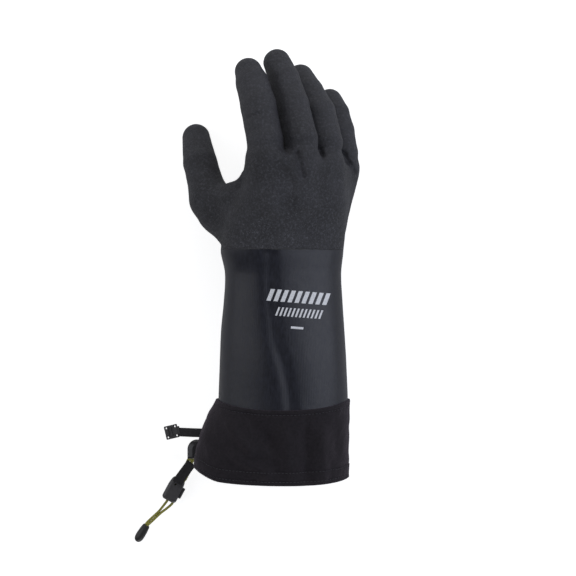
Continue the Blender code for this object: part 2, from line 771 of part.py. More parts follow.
def add_cord_outlet(root):
    """D-shaped block on the cuff's -X side, with a blind bore from its -Y side."""
    outline = []
    for k in range(OUTLET_STEPS + 1):
        angle = math.radians(OUTLET_START + OUTLET_SWEEP * k / OUTLET_STEPS)
        spoke = X_AXIS * math.cos(angle) + Y_AXIS * math.sin(angle)
        outline.append(OUTLET_CENTRE + OUTLET_RADIUS * spoke)
    half = Z_AXIS * OUTLET_HEIGHT / 2
    block = rings_mesh([[p - half for p in outline], [p + half for p in outline]])
    start, end = (OUTLET_CENTRE + X_AXIS * OUTLET_BORE_X + Y_AXIS * y for y in OUTLET_BORE_YS)
    bore = cylinder_mesh(start, end, X_AXIS, Z_AXIS, OUTLET_BORE, OUTLET_BORE_SIDES)
    mesh = combine(block, [bore], "DIFFERENCE")
    finish("cord_outlet_tab", mesh, "plastic", OUTLET_CENTRE, root)


# ---------------------------------------------------------------- cord lock
LOCK_AXIS = unit((-0.474, -0.880, 0.0))  # from the tab to the cord's free end
LOCK_ACROSS = np.array([-LOCK_AXIS[1], LOCK_AXIS[0], 0.0])  # points towards +X
LOCK_AXES = (LOCK_AXIS, LOCK_ACROSS, Z_AXIS)
LOCK_CENTRE = np.array([-92.2, -14.2, 8.0])
LOCK_LONG, LOCK_WIDE, LOCK_THICK = 21.0, 14.0, 9.6
LOCK_CORNER, LOCK_CORNER_STEPS = 3.0, 3
POCKET = (-6.2, 10.0)  # the button's pocket, across the lock, from its blind end
POCKET_HALF = (5.2, 3.1)  # its half sizes along the lock and in height
BUTTON = (-2.4, 9.0)  # the button's two ends in it
BUTTON_HALF = (4.6, 2.6)
BUTTON_WINDOW = (-1.85, 7.25)  # the gap in the button that the cord runs through
WINDOW_CUT, WINDOW_PLAY = 9.0, 0.35  # half length of its cutter, play above and below the cord
CORD_RADIUS, CORD_SIDES = 1.05, 8
CORD_AT = (-0.6, 4.2)  # the two strands' places across the lock
BORE_PLAY, BORE_REACH = 0.5, 14  # play round the cord, half length of the bore's cutter
EYE_AT, EYE_RADIUS, EYE_HEIGHTS = -7.6, 0.9, (2.2, 9)  # upright hole in the top, at the tab end
LOCK_HOLE_SIDES = 8
SPRING_TURNS, SPRING_TURN_STEPS = 3, 10
SPRING_RADIUS, SPRING_WIRE, SPRING_SIDES = 1.9, 0.26, 6
SPRING_PLAY = 0.1

TAB_ROOT = np.array([-77.0, 8.8, 17.0])
TAB_THICK, TAB_WIDTH, TAB_STEPS = 1.4, 8.0, 4
TAB_START = 0.5  # the webbing starts this far from its pivot
TAB_SHORT, TAB_RISE = 0.6, 3.4  # its end: short of the lock, above the lock's middle
TAB_SAG = 1.0  # four times the sag halfway


def lock_point(along, across, rise=0.0):
    """A point in the lock's own axes, from its middle."""
    return LOCK_CENTRE + LOCK_AXIS * along + LOCK_ACROSS * across + Z_AXIS * rise


def lock_box(span, half_long, half_high):
    """A block that spans two places across the lock."""
    start, end = span
    half = (half_long, (end - start) / 2, half_high)
    return box_mesh(lock_point(0.0, (start + end) / 2), half, LOCK_AXES)


def add_lock_tab(tab):
    top = lock_point(-LOCK_LONG / 2, 0.0)
    end = lock_point(-LOCK_LONG / 2 - TAB_SHORT, 0.0, TAB_RISE)
    centres = []
    for k in range(TAB_STEPS + 1):
        share = k / TAB_STEPS
        sag = Z_AXIS * (TAB_SAG * share * (1 - share))
        centres.append(TAB_ROOT + (end - TAB_ROOT) * share - sag)
    centres[0] = centres[0] + unit(top - TAB_ROOT) * TAB_START
    webbing = ribbon_mesh(centres, LOCK_ACROSS, Z_AXIS, TAB_WIDTH, TAB_THICK)
    finish("lock_tab_webbing", webbing, "webbing", TAB_ROOT, tab)


def lock_outline(rise):
    """The lock's rounded rectangle at a height from its middle."""
    outline = []
    for i, j, first in ((1, 1, 0), (-1, 1, 90), (-1, -1, 180), (1, -1, 270)):
        for k in range(LOCK_CORNER_STEPS + 1):
            angle = math.radians(first + 90 / LOCK_CORNER_STEPS * k)
            along = i * (LOCK_LONG / 2 - LOCK_CORNER) + LOCK_CORNER * math.cos(angle)
            across = j * (LOCK_WIDE / 2 - LOCK_CORNER) + LOCK_CORNER * math.sin(angle)
            outline.append(lock_point(along, across, rise))
    return outline


def add_lock_body(tab):
    """The body, with a button pocket open on its +X side, two cord bores and an eye."""
    block = rings_mesh([lock_outline(-LOCK_THICK / 2), lock_outline(LOCK_THICK / 2)])
    cutters = [lock_box(POCKET, *POCKET_HALF)]
    for at in CORD_AT:
        start, end = (lock_point(reach, at) for reach in (-BORE_REACH, BORE_REACH))
        radius = CORD_RADIUS + BORE_PLAY
        cutters.append(cylinder_mesh(start, end, LOCK_ACROSS, Z_AXIS, radius, LOCK_HOLE_SIDES))
    start, end = (lock_point(EYE_AT, 0.0, rise) for rise in EYE_HEIGHTS)
    cutters.append(
        cylinder_mesh(start, end, LOCK_ACROSS, LOCK_AXIS, EYE_RADIUS, LOCK_HOLE_SIDES)
    )
    body = combine(block, cutters, "DIFFERENCE")
    finish("cord_lock_body", body, "lock_plastic", LOCK_CENTRE, tab)


def add_lock_button(press, head):
    """A frame round both strands, with its head outside the body."""
    frame = lock_box(BUTTON, *BUTTON_HALF)
    window = lock_box(BUTTON_WINDOW, WINDOW_CUT, CORD_RADIUS + WINDOW_PLAY)
    mesh = combine(frame, [window], "DIFFERENCE")
    finish("cord_lock_button", mesh, "plastic", head, press)


def add_lock_spring(press):
    """The coil between the pocket's blind end and the button."""
    low = POCKET[0] + SPRING_WIRE + SPRING_PLAY
    high = BUTTON[0] - SPRING_WIRE - SPRING_PLAY
    steps = SPRING_TURNS * SPRING_TURN_STEPS
    path = []
    for k in range(steps + 1):
        angle = 2 * math.pi * k / SPRING_TURN_STEPS
        along, rise = SPRING_RADIUS * math.cos(angle), SPRING_RADIUS * math.sin(angle)
        path.append(lock_point(along, low + (high - low) * k / steps, rise))
    spring = rod_mesh(path, SPRING_WIRE, SPRING_SIDES)
    finish("lock_spring", spring, "steel", LOCK_CENTRE, press)


# ---------------------------------------------------------------- cord
CORD_BEHIND = 24.0  # spare cord behind the lock's middle
CORD_AHEAD = 1.5  # straight cord past the lock's free end
CORD_MEET = np.array([-104.2, -33.6, 6.4])  # where the strands come together
CORD_KNOT = np.array([-114.6, -43.4, 5.6])
STRAND_PLAY = 0.18  # half the gap between the strands where they meet
STRAND_SHORT = 0.7  # the strands stop this far before the knot, clear of the cord end
MEET_STEPS, KNOT_STEPS = 6, 3
END_WAY = unit((-0.53, -0.85, -0.06))  # direction of the cord end
END_HINGE, END_START = 0.8, 1.6  # the swing's hinge and the cord end's start, from the knot
END_LONG, END_SIDES = 16.5, 12
END_PROFILE = (  # distance from the start, radius
    (0.0, 2.5), (1.2, 3.1), (4.0, 3.5), (10.5, 3.8), (14.0, 3.4), (16.0, 1.9),
)


def add_cord_strand(label, at, side, slide):
    """One strand: through the lock, in to the meeting place, then beside the other one."""
    run = unit(CORD_KNOT - CORD_MEET)
    apart = np.array([-run[1], run[0], 0.0]) * side * (CORD_RADIUS + STRAND_PLAY)
    bend = lock_point(LOCK_LONG / 2 + CORD_AHEAD, at)
    meet = CORD_MEET + apart
    to_knot = CORD_KNOT - run * STRAND_SHORT - CORD_MEET
    path = [lock_point(-CORD_BEHIND, at), lock_point(0.0, at), bend]
    path += [bend + (meet - bend) * k / MEET_STEPS for k in range(1, MEET_STEPS + 1)]
    path += [meet + to_knot * k / KNOT_STEPS for k in range(1, KNOT_STEPS + 1)]
    strand = rod_mesh(path, CORD_RADIUS, CORD_SIDES)
    finish(f"cord_strand_{label}", strand, "cord", bend, slide)


def add_cord_end(slide):
    hinge = CORD_KNOT + END_WAY * END_HINGE
    swing = pivot("cord_end_pivot", hinge, slide)
    side = unit(np.cross(Z_AXIS, END_WAY))
    up = np.cross(END_WAY, side)
    start = CORD_KNOT + END_WAY * END_START
    rings = [
        section(start + END_WAY * distance, side, up, radius, radius, END_SIDES)
        for distance, radius in END_PROFILE
    ]
    mesh = rings_mesh(rings, end_pole=start + END_WAY * END_LONG)
    finish("cord_end", mesh, "plastic", hinge, swing)


def add_cord_lock(root):
    """The lock on its tab, and the cord that slides through it."""
    tab = pivot("lock_pivot", TAB_ROOT, root)
    add_lock_tab(tab)
    add_lock_body(tab)
    head = lock_point(0.0, BUTTON[1])
    press = pivot("button_pivot", head, tab)
    add_lock_button(press, head)
    add_lock_spring(press)
    slide = pivot("cord_pivot", lock_point(LOCK_LONG / 2, 0.0), tab)
    for label, at, side in (("left", CORD_AT[0], -1), ("right", CORD_AT[1], 1)):
        add_cord_strand(label, at, side, slide)
    add_cord_end(slide)


# ---------------------------------------------------------------- build
def add_digit(name, chain, parts, wrist):
    """A finger or the thumb, each part hanging from the one before."""
    parent = wrist
    for i, part in enumerate(parts, start=1):
        joint = chain.points[i]
        parent = pivot(f"{name}_{part}_pivot", joint, parent)
        add_layers(
            f"{name}_{part}",
            lambda inset, wall: segment_mesh(chain, i, inset, wall),
            "hand_coat", joint, parent,
        )


def add_hand(root):
    fingers = {name: finger_chain(name) for name in FINGERS}
    thumb = thumb_chain()
    wrist_at = (0, WRIST_Y, WRIST_Z)
    wrist = pivot("wrist_pivot", wrist_at, root)
    add_layers(
        "palm",
        lambda inset, wall: palm_layer(list(fingers.values()), thumb, inset, wall),
        "hand_coat", wrist_at, wrist,
    )
    for name, chain in fingers.items():
        add_digit(name, chain, FINGER_PARTS, wrist)
    add_digit("thumb", thumb, THUMB_PARTS, wrist)


def build():
    for obj in list(bpy.data.objects):
        bpy.data.objects.remove(obj)

    root = pivot("glove", (0, 0, 0))
    add_layers("gauntlet", gauntlet_layer, "gauntlet_skin", GAUNTLET_ORIGIN, root)
    add_hand(root)
    add_cuff_skirt(root)
    add_seam_binding(root)
    add_hem(root)
    add_strap(root)
    add_cord_outlet(root)
    add_cord_lock(root)

    # everything hangs from the root, so moving it puts the origin under the cuff
    root.location = -Vector(REST_POINT) * MM
    bpy.context.view_layer.update()


build()
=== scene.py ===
"""Insulated cryogenic glove with a dipped skin, a fleece lining and a woven cuff.

The glove lies with the back of the hand up (+Z), its fingers towards +Y, its opening towards -Y
and its thumb on the -X side. A clip strap and a cord lock hang from the cuff on the thumb side.
Sizes are in mm from a point on the bench under the hem, unless a name says otherwise.
"""
import json
import math
from types import SimpleNamespace

import bpy
import numpy as np
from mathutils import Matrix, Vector


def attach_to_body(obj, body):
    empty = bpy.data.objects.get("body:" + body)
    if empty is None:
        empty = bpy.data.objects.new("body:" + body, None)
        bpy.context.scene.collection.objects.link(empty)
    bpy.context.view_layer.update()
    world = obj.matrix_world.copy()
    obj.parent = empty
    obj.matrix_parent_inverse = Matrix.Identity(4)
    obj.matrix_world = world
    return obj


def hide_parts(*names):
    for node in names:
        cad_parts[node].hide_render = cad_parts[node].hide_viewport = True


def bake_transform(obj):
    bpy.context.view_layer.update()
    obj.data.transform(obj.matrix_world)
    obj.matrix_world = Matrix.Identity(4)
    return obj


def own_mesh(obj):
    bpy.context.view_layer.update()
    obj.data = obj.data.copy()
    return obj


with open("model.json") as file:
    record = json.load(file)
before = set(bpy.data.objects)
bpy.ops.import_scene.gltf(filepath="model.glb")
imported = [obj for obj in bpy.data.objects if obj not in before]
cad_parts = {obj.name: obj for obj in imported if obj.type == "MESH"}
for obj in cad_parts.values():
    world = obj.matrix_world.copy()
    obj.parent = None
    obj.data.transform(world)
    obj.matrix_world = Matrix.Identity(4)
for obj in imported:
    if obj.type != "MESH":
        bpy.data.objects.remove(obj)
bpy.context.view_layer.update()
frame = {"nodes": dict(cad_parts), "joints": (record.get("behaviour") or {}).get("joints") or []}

MM = 0.001
TAU = 2 * math.pi
X_AXIS, Y_AXIS, Z_AXIS = np.eye(3)

# ------------------------------------------------------------------ driving dimensions
ROLL = math.radians(32.0)  # the row of fingers leans down towards +X
ACROSS = np.array([math.cos(ROLL), 0.0, -math.sin(ROLL)])
# place along ACROSS, (x, y) of root, joints and tip, half widths and half heights there
FINGERS = {
    "index": (-59.4, [(-13.5, 258.4), (-14.3, 272.6), (-19.6, 301.9), (-25.0, 321.5), (-28.0, 331.0)],
              [13.9, 13.9, 13.9, 12.9, 11.0], [15.6, 15.4, 15.4, 13.6, 11.2]),
    "middle": (-31.6, [(14.5, 259.2), (14.1, 273.8), (7.3, 303.3), (0.9, 325.3), (-4.9, 340.4)],
               [13.4, 13.4, 13.3, 12.4, 11.0], [15.6, 15.2, 14.8, 13.2, 11.2]),
    "ring": (-3.2, [(35.0, 259.2), (34.7, 273.9), (29.5, 299.1), (21.4, 317.3), (14.5, 331.0)],
             [13.4, 13.3, 13.1, 12.0, 10.8], [14.8, 14.6, 13.9, 12.5, 11.0]),
    "little": (26.6, [(49.4, 254.8), (49.6, 268.4), (47.3, 286.7), (43.8, 301.2), (39.4, 312.6)],
               [12.4, 12.3, 12.0, 11.4, 10.6], [13.4, 13.0, 12.5, 11.7, 10.8]),
}
# gaps between neighbouring fingers: place along ACROSS, y of the web
GAPS = [(-45.4, 266.2), (-17.35, 266.6), (12.1, 264.0)]
THUMB_JOINTS = [(-60.0, 228.0, 41.0), (-69.0, 259.7, 28.5), (-73.3, 282.3, 12.0)]
THUMB_WIDTHS, THUMB_HEIGHTS = [12.6, 15.4, 14.1, 11.7], [14.6, 16.0, 14.2, 11.6]
THUMB_ROOT_LENGTH, THUMB_ROOT_BEND = 13.0, math.radians(8.0)
WRIST = np.array([0.0, 187.0, 55.0])
WRIST_BAND = (158.0, 204.0)  # y range that bends at the wrist
WRIST_BEND = [(0, y, 55) for y in WRIST_BAND]
SKIN_START = 53.0  # y of the skin's open end, under the cuff
COAT_EDGE = 186.9  # y where the gritty hand coat begins


def joint(name):
    return next(entry for entry in frame["joints"] if entry["name"] == name)


# from design points to the frame, which says where the wrist really is
SHIFT = np.array(joint("wrist_bend")["pos_m"]) / MM - WRIST


def metres(point):
    """A design point, in mm, in the frame's metres."""
    return tuple((np.asarray(point, float) + SHIFT) * MM)


def unit(vectors):
    """A vector, or each row of vectors, at length one."""
    vectors = np.asarray(vectors, float)
    return vectors / np.linalg.norm(vectors, axis=-1, keepdims=True)


def finger_chain(place, joints, widths, heights):
    """A finger's points, with the z that keeps them at one place along ACROSS."""
    points = [np.array([x, y, (x * math.cos(ROLL) - place) / math.sin(ROLL)]) for x, y in joints]
    return points, ACROSS, widths, heights


def thumb_chain():
    """The thumb's points, with a root point added before the first."""
    points = [np.array(point) for point in THUMB_JOINTS]
    first, second = unit(points[1] - points[0]), unit(points[2] - points[1])
    across = -unit(np.cross(first, second))
    way = first * math.cos(THUMB_ROOT_BEND) + np.cross(across, first) * math.sin(THUMB_ROOT_BEND)
    points.insert(0, points[0] - way * THUMB_ROOT_LENGTH)
    return points, across, THUMB_WIDTHS, THUMB_HEIGHTS


CHAINS = {name: finger_chain(*sizes) for name, sizes in FINGERS.items()}
CHAINS["thumb"] = thumb_chain()


# ------------------------------------------------------------------ signed fields, negative inside
def soft_min(first, second, radius):
    overlap = np.maximum(radius - np.abs(first - second), 0.0) / radius
    return np.minimum(first, second) - overlap * overlap * overlap * radius / 6.0


def soft_max(first, second, radius):
    return -soft_min(-first, -second, radius)


def smooth(share):
    share = np.clip(share, 0.0, 1.0)
    return share * share * (3 - 2 * share)


def spline(before, start, end, after, share):
    """Catmull-Rom curve from start to end."""
    return 0.5 * (2 * start + (end - before) * share
                  + (2 * before - 5 * start + 4 * end - after) * share ** 2
                  + (3 * start - before - 3 * end + after) * share ** 3)


def oval_cone(points, start, end, across, widths, heights):
    """Distance to a tapered bar with oval sections and round ends."""
    way = np.subtract(end, start)
    length = np.linalg.norm(way)
    way = way / length
    side = unit(across - np.dot(across, way) * way)
    up = np.cross(side, way)
    offset = points - start
    along = offset @ way
    share = np.clip(along / length, 0, 1)
    width = widths[0] + (widths[1] - widths[0]) * share
    height = heights[0] + (heights[1] - heights[0]) * share
    past_end = (along - share * length) / (0.5 * (width + height))
    reach = np.sqrt((offset @ side / width) ** 2 + (offset @ up / height) ** 2 + past_end ** 2)
    return (reach - 1.0) * np.minimum(width, height)


def finger_field(points, name):
    chain, across, widths, heights = CHAINS[name]
    total = None
    for i in range(len(chain) - 1):
        bone = oval_cone(points, chain[i], chain[i + 1], across, widths[i:i + 2], heights[i:i + 2])
        total = bone if total is None else soft_min(total, bone, 1.8)
    return total


# sleeve sections: y, centre x, centre z, half width, half height, roll in degrees
SECTIONS = np.array([
    (50.0, 0.2, 43.4, 52.9, 41.8, 1.5),
    (61.0, 0.2, 43.5, 53.4, 41.6, 2.0),
    (97.0, 0.0, 46.5, 52.0, 39.5, 5.0),
    (121.0, -0.2, 48.5, 50.6, 37.0, 8.0),
    (146.0, 0.2, 51.0, 48.7, 34.5, 12.0),
    (168.0, 0.2, 53.0, 48.0, 33.0, 15.0),
    (WRIST[1], -0.6, 55.0, 51.2, 33.0, 18.0),
])
SECTION_POWER = 2.25  # a little squarer than an ellipse
KNUCKLE_MIDDLE = np.array([20.0, 62.0])  # x, z
ANGLES = 120
YS = np.arange(40.0, 275.0, 2.0)


def sleeve_section(y):
    """SECTIONS at this y; the end sections carry on unchanged."""
    stations = SECTIONS[:, 0]
    if y <= stations[0]:
        return SECTIONS[0]
    if y >= stations[-1]:
        return SECTIONS[-1]
    last = len(stations) - 1
    i = int(np.clip(np.searchsorted(stations, y) - 1, 0, last - 1))
    share = (y - stations[i]) / (stations[i + 1] - stations[i])
    return spline(SECTIONS[max(i - 1, 0)], SECTIONS[i], SECTIONS[i + 1],
                  SECTIONS[min(i + 2, last)], share)


def knuckle_hull(directions):
    """Radius, along each (x, z) direction, of the hull round the finger roots."""
    around = TAU * np.arange(40) / 40
    cloud = []
    for name in FINGERS:
        chain, across, widths, heights = CHAINS[name]
        up = np.cross(across, unit(chain[1] - chain[0]))
        ring = (chain[0] + np.outer(np.cos(around), across * widths[0])
                + np.outer(np.sin(around), up * heights[0]))
        cloud.append(ring[:, [0, 2]])
    cloud = np.concatenate(cloud) - KNUCKLE_MIDDLE
    fine = TAU * np.arange(720) / 720
    normals = np.stack([np.cos(fine), np.sin(fine)], 1)
    support = (cloud @ normals.T).max(0)
    facing = directions @ normals.T
    return np.where(facing > 0.1, support[None, :] / np.maximum(facing, 0.1), 1e9).min(1)


def build_table():
    """Centres (x, z) and radii of the sleeve and the palm, for each of YS and each angle."""
    angles = TAU * np.arange(ANGLES) / ANGLES
    hull = knuckle_hull(np.stack([np.cos(angles), np.sin(angles)], 1))
    centres, radii = [], []
    for y in YS:
        _, centre_x, centre_z, half_width, half_height, roll = sleeve_section(min(y, WRIST[1]))
        # roll turns the section's long side down towards +X
        rolled = angles + math.radians(roll)
        oval = 1.0 / ((np.abs(np.cos(rolled)) / half_width) ** SECTION_POWER
                      + (np.abs(np.sin(rolled)) / half_height) ** SECTION_POWER
                      ) ** (1 / SECTION_POWER)
        share = float(smooth((y - 183.0) / 74.0))
        centres.append([centre_x + (KNUCKLE_MIDDLE[0] - centre_x) * share,
                        centre_z + (KNUCKLE_MIDDLE[1] - centre_z) * share])
        swell = 2.0 * math.sin(math.pi * min(max((y - WRIST[1]) / 70.0, 0.0), 1.0))
        radii.append(oval + (hull - oval) * share + swell)
    return np.array(centres), np.array(radii)


CENTRES, RADII = build_table()


def loft_field(points):
    """Distance out from the sleeve and palm table, measured from each section's centre."""
    level = np.clip((points[:, 1] - YS[0]) / (YS[1] - YS[0]), 0, len(YS) - 1.001)
    j = level.astype(int)
    rise = level - j
    centre = CENTRES[j] * (1 - rise)[:, None] + CENTRES[j + 1] * rise[:, None]
    off_x, off_z = points[:, 0] - centre[:, 0], points[:, 2] - centre[:, 1]
    angle = np.mod(np.arctan2(off_z, off_x), 2 * np.pi) / (2 * np.pi) * ANGLES
    i = angle.astype(int) % ANGLES
    share = angle - np.floor(angle)
    k = (i + 1) % ANGLES
    near = RADII[j, i] * (1 - share) + RADII[j, k] * share
    far = RADII[j + 1, i] * (1 - share) + RADII[j + 1, k] * share
    return np.hypot(off_x, off_z) - (near * (1 - rise) + far * rise)


def wave(points, seed, scale):
    """Smooth repeatable noise: a sum of sine waves in fixed directions."""
    random = np.random.default_rng(seed)
    out = np.zeros(len(points))
    for _ in range(9):
        way = random.normal(size=3)
        way /= np.linalg.norm(way)
        out += np.sin(points @ way / scale * random.uniform(0.7, 1.5) * 2 * math.pi
                      + random.uniform(0, 6.28))
    return out / 4.2


def on_line(points, line, width):
    """Bell-shaped weight about a line of (x, y) points, seen from above."""
    x, y = points[:, 0], points[:, 1]
    nearest = np.full(len(points), 1e9)
    for (x0, y0), (x1, y1) in zip(line[:-1], line[1:]):
        run, rise = x1 - x0, y1 - y0
        share = np.clip(((x - x0) * run + (y - y0) * rise) / (run * run + rise * rise), 0, 1)
        nearest = np.minimum(nearest, np.hypot(x - x0 - share * run, y - y0 - share * rise))
    return np.exp(-((nearest / width) ** 2))


# folds and lumps on the back of the hand: (x, y) points, width, height; negative for a groove
RELIEF = [
    ([(-1.4, 257.0), (5.7, 250.0), (11.3, 242.0)], 2.8, 2.0),
    ([(11.3, 262.0), (16.2, 244.0)], 2.2, -2.0),
    ([(49.2, 267.0), (58.2, 252.6)], 2.4, -2.1),
    ([(29.8, 267.5), (32.2, 258.7)], 2.2, -1.3),
    ([(-13.6, 319.0), (-8.8, 319.0)], 1.3, 0.45),
    ([(-16.8, 312.0), (-8.8, 312.0)], 1.3, 0.45),
    ([(-82.7, 275.2), (-75.2, 264.4)], 1.8, -0.8),
    ([(-13.5, 253.0), (-10.0, 253.0)], 9.0, 0.7),
    ([(16.0, 253.5), (19.2, 253.5)], 9.0, 0.7),
    ([(38.0, 254.2), (40.6, 254.2)], 8.0, 0.8),
    ([(5.7, 245.0), (5.7, 221.0)], 5.0, -0.65),
    ([(28.1, 256.0), (25.7, 230.0)], 5.0, -0.65),
    ([(-20.0, 293.5), (-28.5, 290.5)], 1.8, -0.80),
    ([(-8.5, 300.0), (-22.0, 296.0)], 2.6, 0.55),
    ([(0.0, 301.0), (14.0, 305.0)], 2.8, 0.28),
    ([(24.0, 297.0), (36.0, 300.5)], 2.6, 0.22),
    ([(41.0, 285.0), (52.0, 288.0)], 2.4, 0.12),
    ([(2.0, 318.0), (11.0, 321.0)], 1.7, -0.40),
    ([(22.0, 311.0), (31.0, 315.0)], 1.7, -0.40),
]
# one long shallow hollow down the back of the sleeve: x, y
HOLLOW = [(-10.3, 184.5), (-10.3, 146.2), (-6.3, 114.3), (0.1, 94.3), (4.1, 78.4), (6.5, 58.0)]


def rooted_finger(points, name):
    """A finger with the swell that carries it back into the palm."""
    chain, across, widths, heights = CHAINS[name]
    way = unit(chain[1] - chain[0])
    if name == "little":
        length, taper, tail = 50.0, 0.72, np.array([-6.0, 0.0, 5.0])
    else:
        length, taper, tail = 34.0, 0.9, np.array([0.0, 0.0, -2.5])
    root = oval_cone(points, chain[0] - way * length + tail, chain[0] + way * 2, across,
                     (widths[0] * taper, widths[0]), (heights[0] * taper * 0.96, heights[0]))
    return soft_min(finger_field(points, name), root, 4.0)


def thumb_field(points):
    """The thumb, its heel, and the pads that join it to the palm."""
    chain, across, widths, heights = CHAINS["thumb"]
    heel = oval_cone(points, (-38.0, 194.5, 53.0), chain[1] + np.array([0.5, 0.0, 2.0]), across,
                     (12.0, widths[1]), (16.0, heights[1]))
    back = oval_cone(points, (-25.0, 200.0, 66.0), (-40.0, 227.0, 63.0), across,
                     (16.0, 13.0), (16.5, 14.0))
    web = oval_cone(points, (-51.5, 227.5, 46.0), (-35.0, 230.0, 64.0), Y_AXIS,
                    (9.6, 9.2), (10.0, 12.0))
    brace = oval_cone(points, (-36.5, 230.0, 60.0), (-26.0, 245.0, 72.0), Y_AXIS,
                      (9.0, 5.5), (11.0, 9.0))
    pads = soft_min(soft_min(soft_min(heel, back, 16.0), web, 12.0), brace, 8.0)
    return soft_min(finger_field(points, "thumb"), pads, 12.0)


def skin_field(points):
    """The whole coated glove, from the cuff seam to the fingertips."""
    x, y = points[:, 0], points[:, 1]
    place = points @ ACROSS
    palm_end = 262.0 - 4.0 * smooth((x - 36.0) / 16.0)
    body = soft_max(loft_field(points), y - palm_end, 10.0)
    bunch = None
    for name in FINGERS:
        finger = rooted_finger(points, name)
        bunch = finger if bunch is None else soft_min(bunch, finger, 3.0)
    out = soft_min(body, bunch, 9.0)
    out = soft_min(out, thumb_field(points), 3.0 + 17.0 * smooth((y - 188.0) / 18.0))
    # gaps between the fingers widen towards the tips and are round at the web
    for gap_place, web_y in GAPS:
        half = 0.70 + 0.032 * np.clip(y - web_y, 0, 60)
        gap = soft_max(np.abs(place - gap_place) - half, (web_y - y), 3.4)
        out = soft_max(out, -gap, 2.4)
    return out


def detail(points):
    """Small relief added to the field: soft lumps of the padding, and folds."""
    x, y, z = points.T
    hand = smooth((y - 190.0) / 14.0)
    out = -0.16 * wave(points, 3, 34.0) * hand - 0.09 * wave(points, 5, 13.0) * hand
    out = out - 0.20 * wave(points * np.array([1.0, 0.35, 1.0]), 8, 30.0) * (1 - hand)
    back = smooth((x * math.sin(ROLL) + z * math.cos(ROLL) - 50.0) / 9.0)
    top = np.nonzero((back > 0) & (y > 190.0))[0]
    lift = np.zeros(len(top))
    for line, width, height in RELIEF:
        lift += height * on_line(points[top], line, width)
    out[top] -= lift * back[top]
    low = np.nonzero((y < 192.0) & (z > 50.0))[0]
    fade = smooth((z[low] - 55.0) / 12.0) * smooth((191.0 - y[low]) / 8.0)
    out[low] += 1.05 * on_line(points[low], HOLLOW, 5.2) * fade
    return out


def field(points):
    values = skin_field(points)
    near = np.abs(values) < 7.0
    values[near] += detail(points[near])
    return values


# ------------------------------------------------------------------ surface nets
COARSE = 4  # fine steps in one step of the first, rough pass
CORNERS = [(x, y, z) for x in (0, 1) for y in (0, 1) for z in (0, 1)]


def chunked(function, points, size=400000):
    return np.concatenate([function(points[i:i + size]) for i in range(0, len(points), size)])


def corner_slices(cells):
    """For each corner of a cell, the slices that pick it from the grid of points."""
    return [tuple(slice(d, count + d) for d, count in zip(corner, cells)) for corner in CORNERS]


def enlarge(grid):
    for axis in range(3):
        grid = np.repeat(grid, COARSE, axis)
    return grid


def sample(function, low, high, step):
    """The function on a grid, worked out only near its surface and filled in elsewhere."""
    size = (np.ceil((high - low) / (step * COARSE)).astype(int)) * COARSE + 1
    rough_size = (size - 1) // COARSE + 1
    lines = [low[axis] + step * COARSE * np.arange(rough_size[axis]) for axis in range(3)]
    places = np.stack(np.meshgrid(*lines, indexing="ij"), -1).reshape(-1, 3)
    rough = chunked(function, places).reshape(rough_size)
    near = np.abs(rough) < step * COARSE * 1.6 + 1.5
    cells = np.zeros(rough_size - 1, bool)
    for corner in corner_slices(rough_size - 1):
        cells |= near[corner]
    cells = enlarge(cells)
    wanted = np.zeros(size, bool)
    for corner in corner_slices(size - 1):
        wanted[corner] |= cells
    filled = enlarge(rough)[:size[0], :size[1], :size[2]]
    values = np.where(filled < 0, -9.0, 9.0).astype(np.float32)
    values[wanted] = chunked(function, low + np.argwhere(wanted) * step)
    return values


def polygonise(function, low, high, step):
    """Points and quads of the surface where the function is zero."""
    low, high = np.array(low, float), np.array(high, float)
    values = sample(function, low, high, step)
    size = np.array(values.shape)
    inside = values < 0
    count = np.zeros(size - 1, np.int8)
    for corner in corner_slices(size - 1):
        count += inside[corner]
    active = (count > 0) & (count < 8)
    cells = np.argwhere(active)
    index = -np.ones(active.shape, np.int64)
    index[active] = np.arange(len(cells))
    at_corner = {corner: values[tuple((cells + corner).T)].astype(float) for corner in CORNERS}

    # each cell's point is the mean of the places where its edges cross the surface
    total = np.zeros((len(cells), 3))
    crossings = np.zeros(len(cells))
    for start in CORNERS:
        for axis in range(3):
            if start[axis] == 0:
                end = tuple(1 if k == axis else start[k] for k in range(3))
                value, next_value = at_corner[start], at_corner[end]
                cross = (value < 0) != (next_value < 0)
                share = np.where(cross, value / np.where(cross, value - next_value, 1.0), 0.0)
                place = np.array(start, float) + share[:, None] * np.subtract(end, start, dtype=float)
                total += np.where(cross[:, None], place, 0.0)
                crossings += cross
    points = low + (cells + total / crossings[:, None]) * step

    # each crossed grid line joins the four cells round it
    quads = []
    for axis, (side, up) in enumerate([(1, 2), (2, 0), (0, 1)]):
        cross = np.argwhere(np.diff(inside, axis=axis))
        within = ((cross[:, side] > 0) & (cross[:, up] > 0)
                  & (cross[:, side] < size[side] - 1) & (cross[:, up] < size[up] - 1))
        cross = cross[within]
        leaving = inside[tuple(cross.T)]
        corners = []
        for side_step, up_step in ((1, 1), (0, 1), (0, 0), (1, 0)):
            cell = cross.copy()
            cell[:, side] -= side_step
            cell[:, up] -= up_step
            corners.append(index[tuple(cell.T)])
        quad = np.stack(corners, 1)
        quad = np.where(leaving[:, None], quad, quad[:, ::-1])
        quads.append(quad[(quad >= 0).all(1)])
    return points, np.concatenate(quads)


def gradient(function, points, reach=0.35):
    return np.stack([function(points + reach * axis) - function(points - reach * axis)
                     for axis in np.eye(3)], 1) / (2 * reach)


def settle(function, points, steps, most):
    """Moves points onto the surface along the field's gradient, at most so far a step."""
    for _ in range(steps):
        value = function(points)
        slope = gradient(function, points)
        move = -(value / np.maximum((slope * slope).sum(1), 0.05))[:, None] * slope
        size = np.linalg.norm(move, axis=1)
        points = points + move * np.minimum(1.0, most / np.maximum(size, 1e-9))[:, None]
    return points


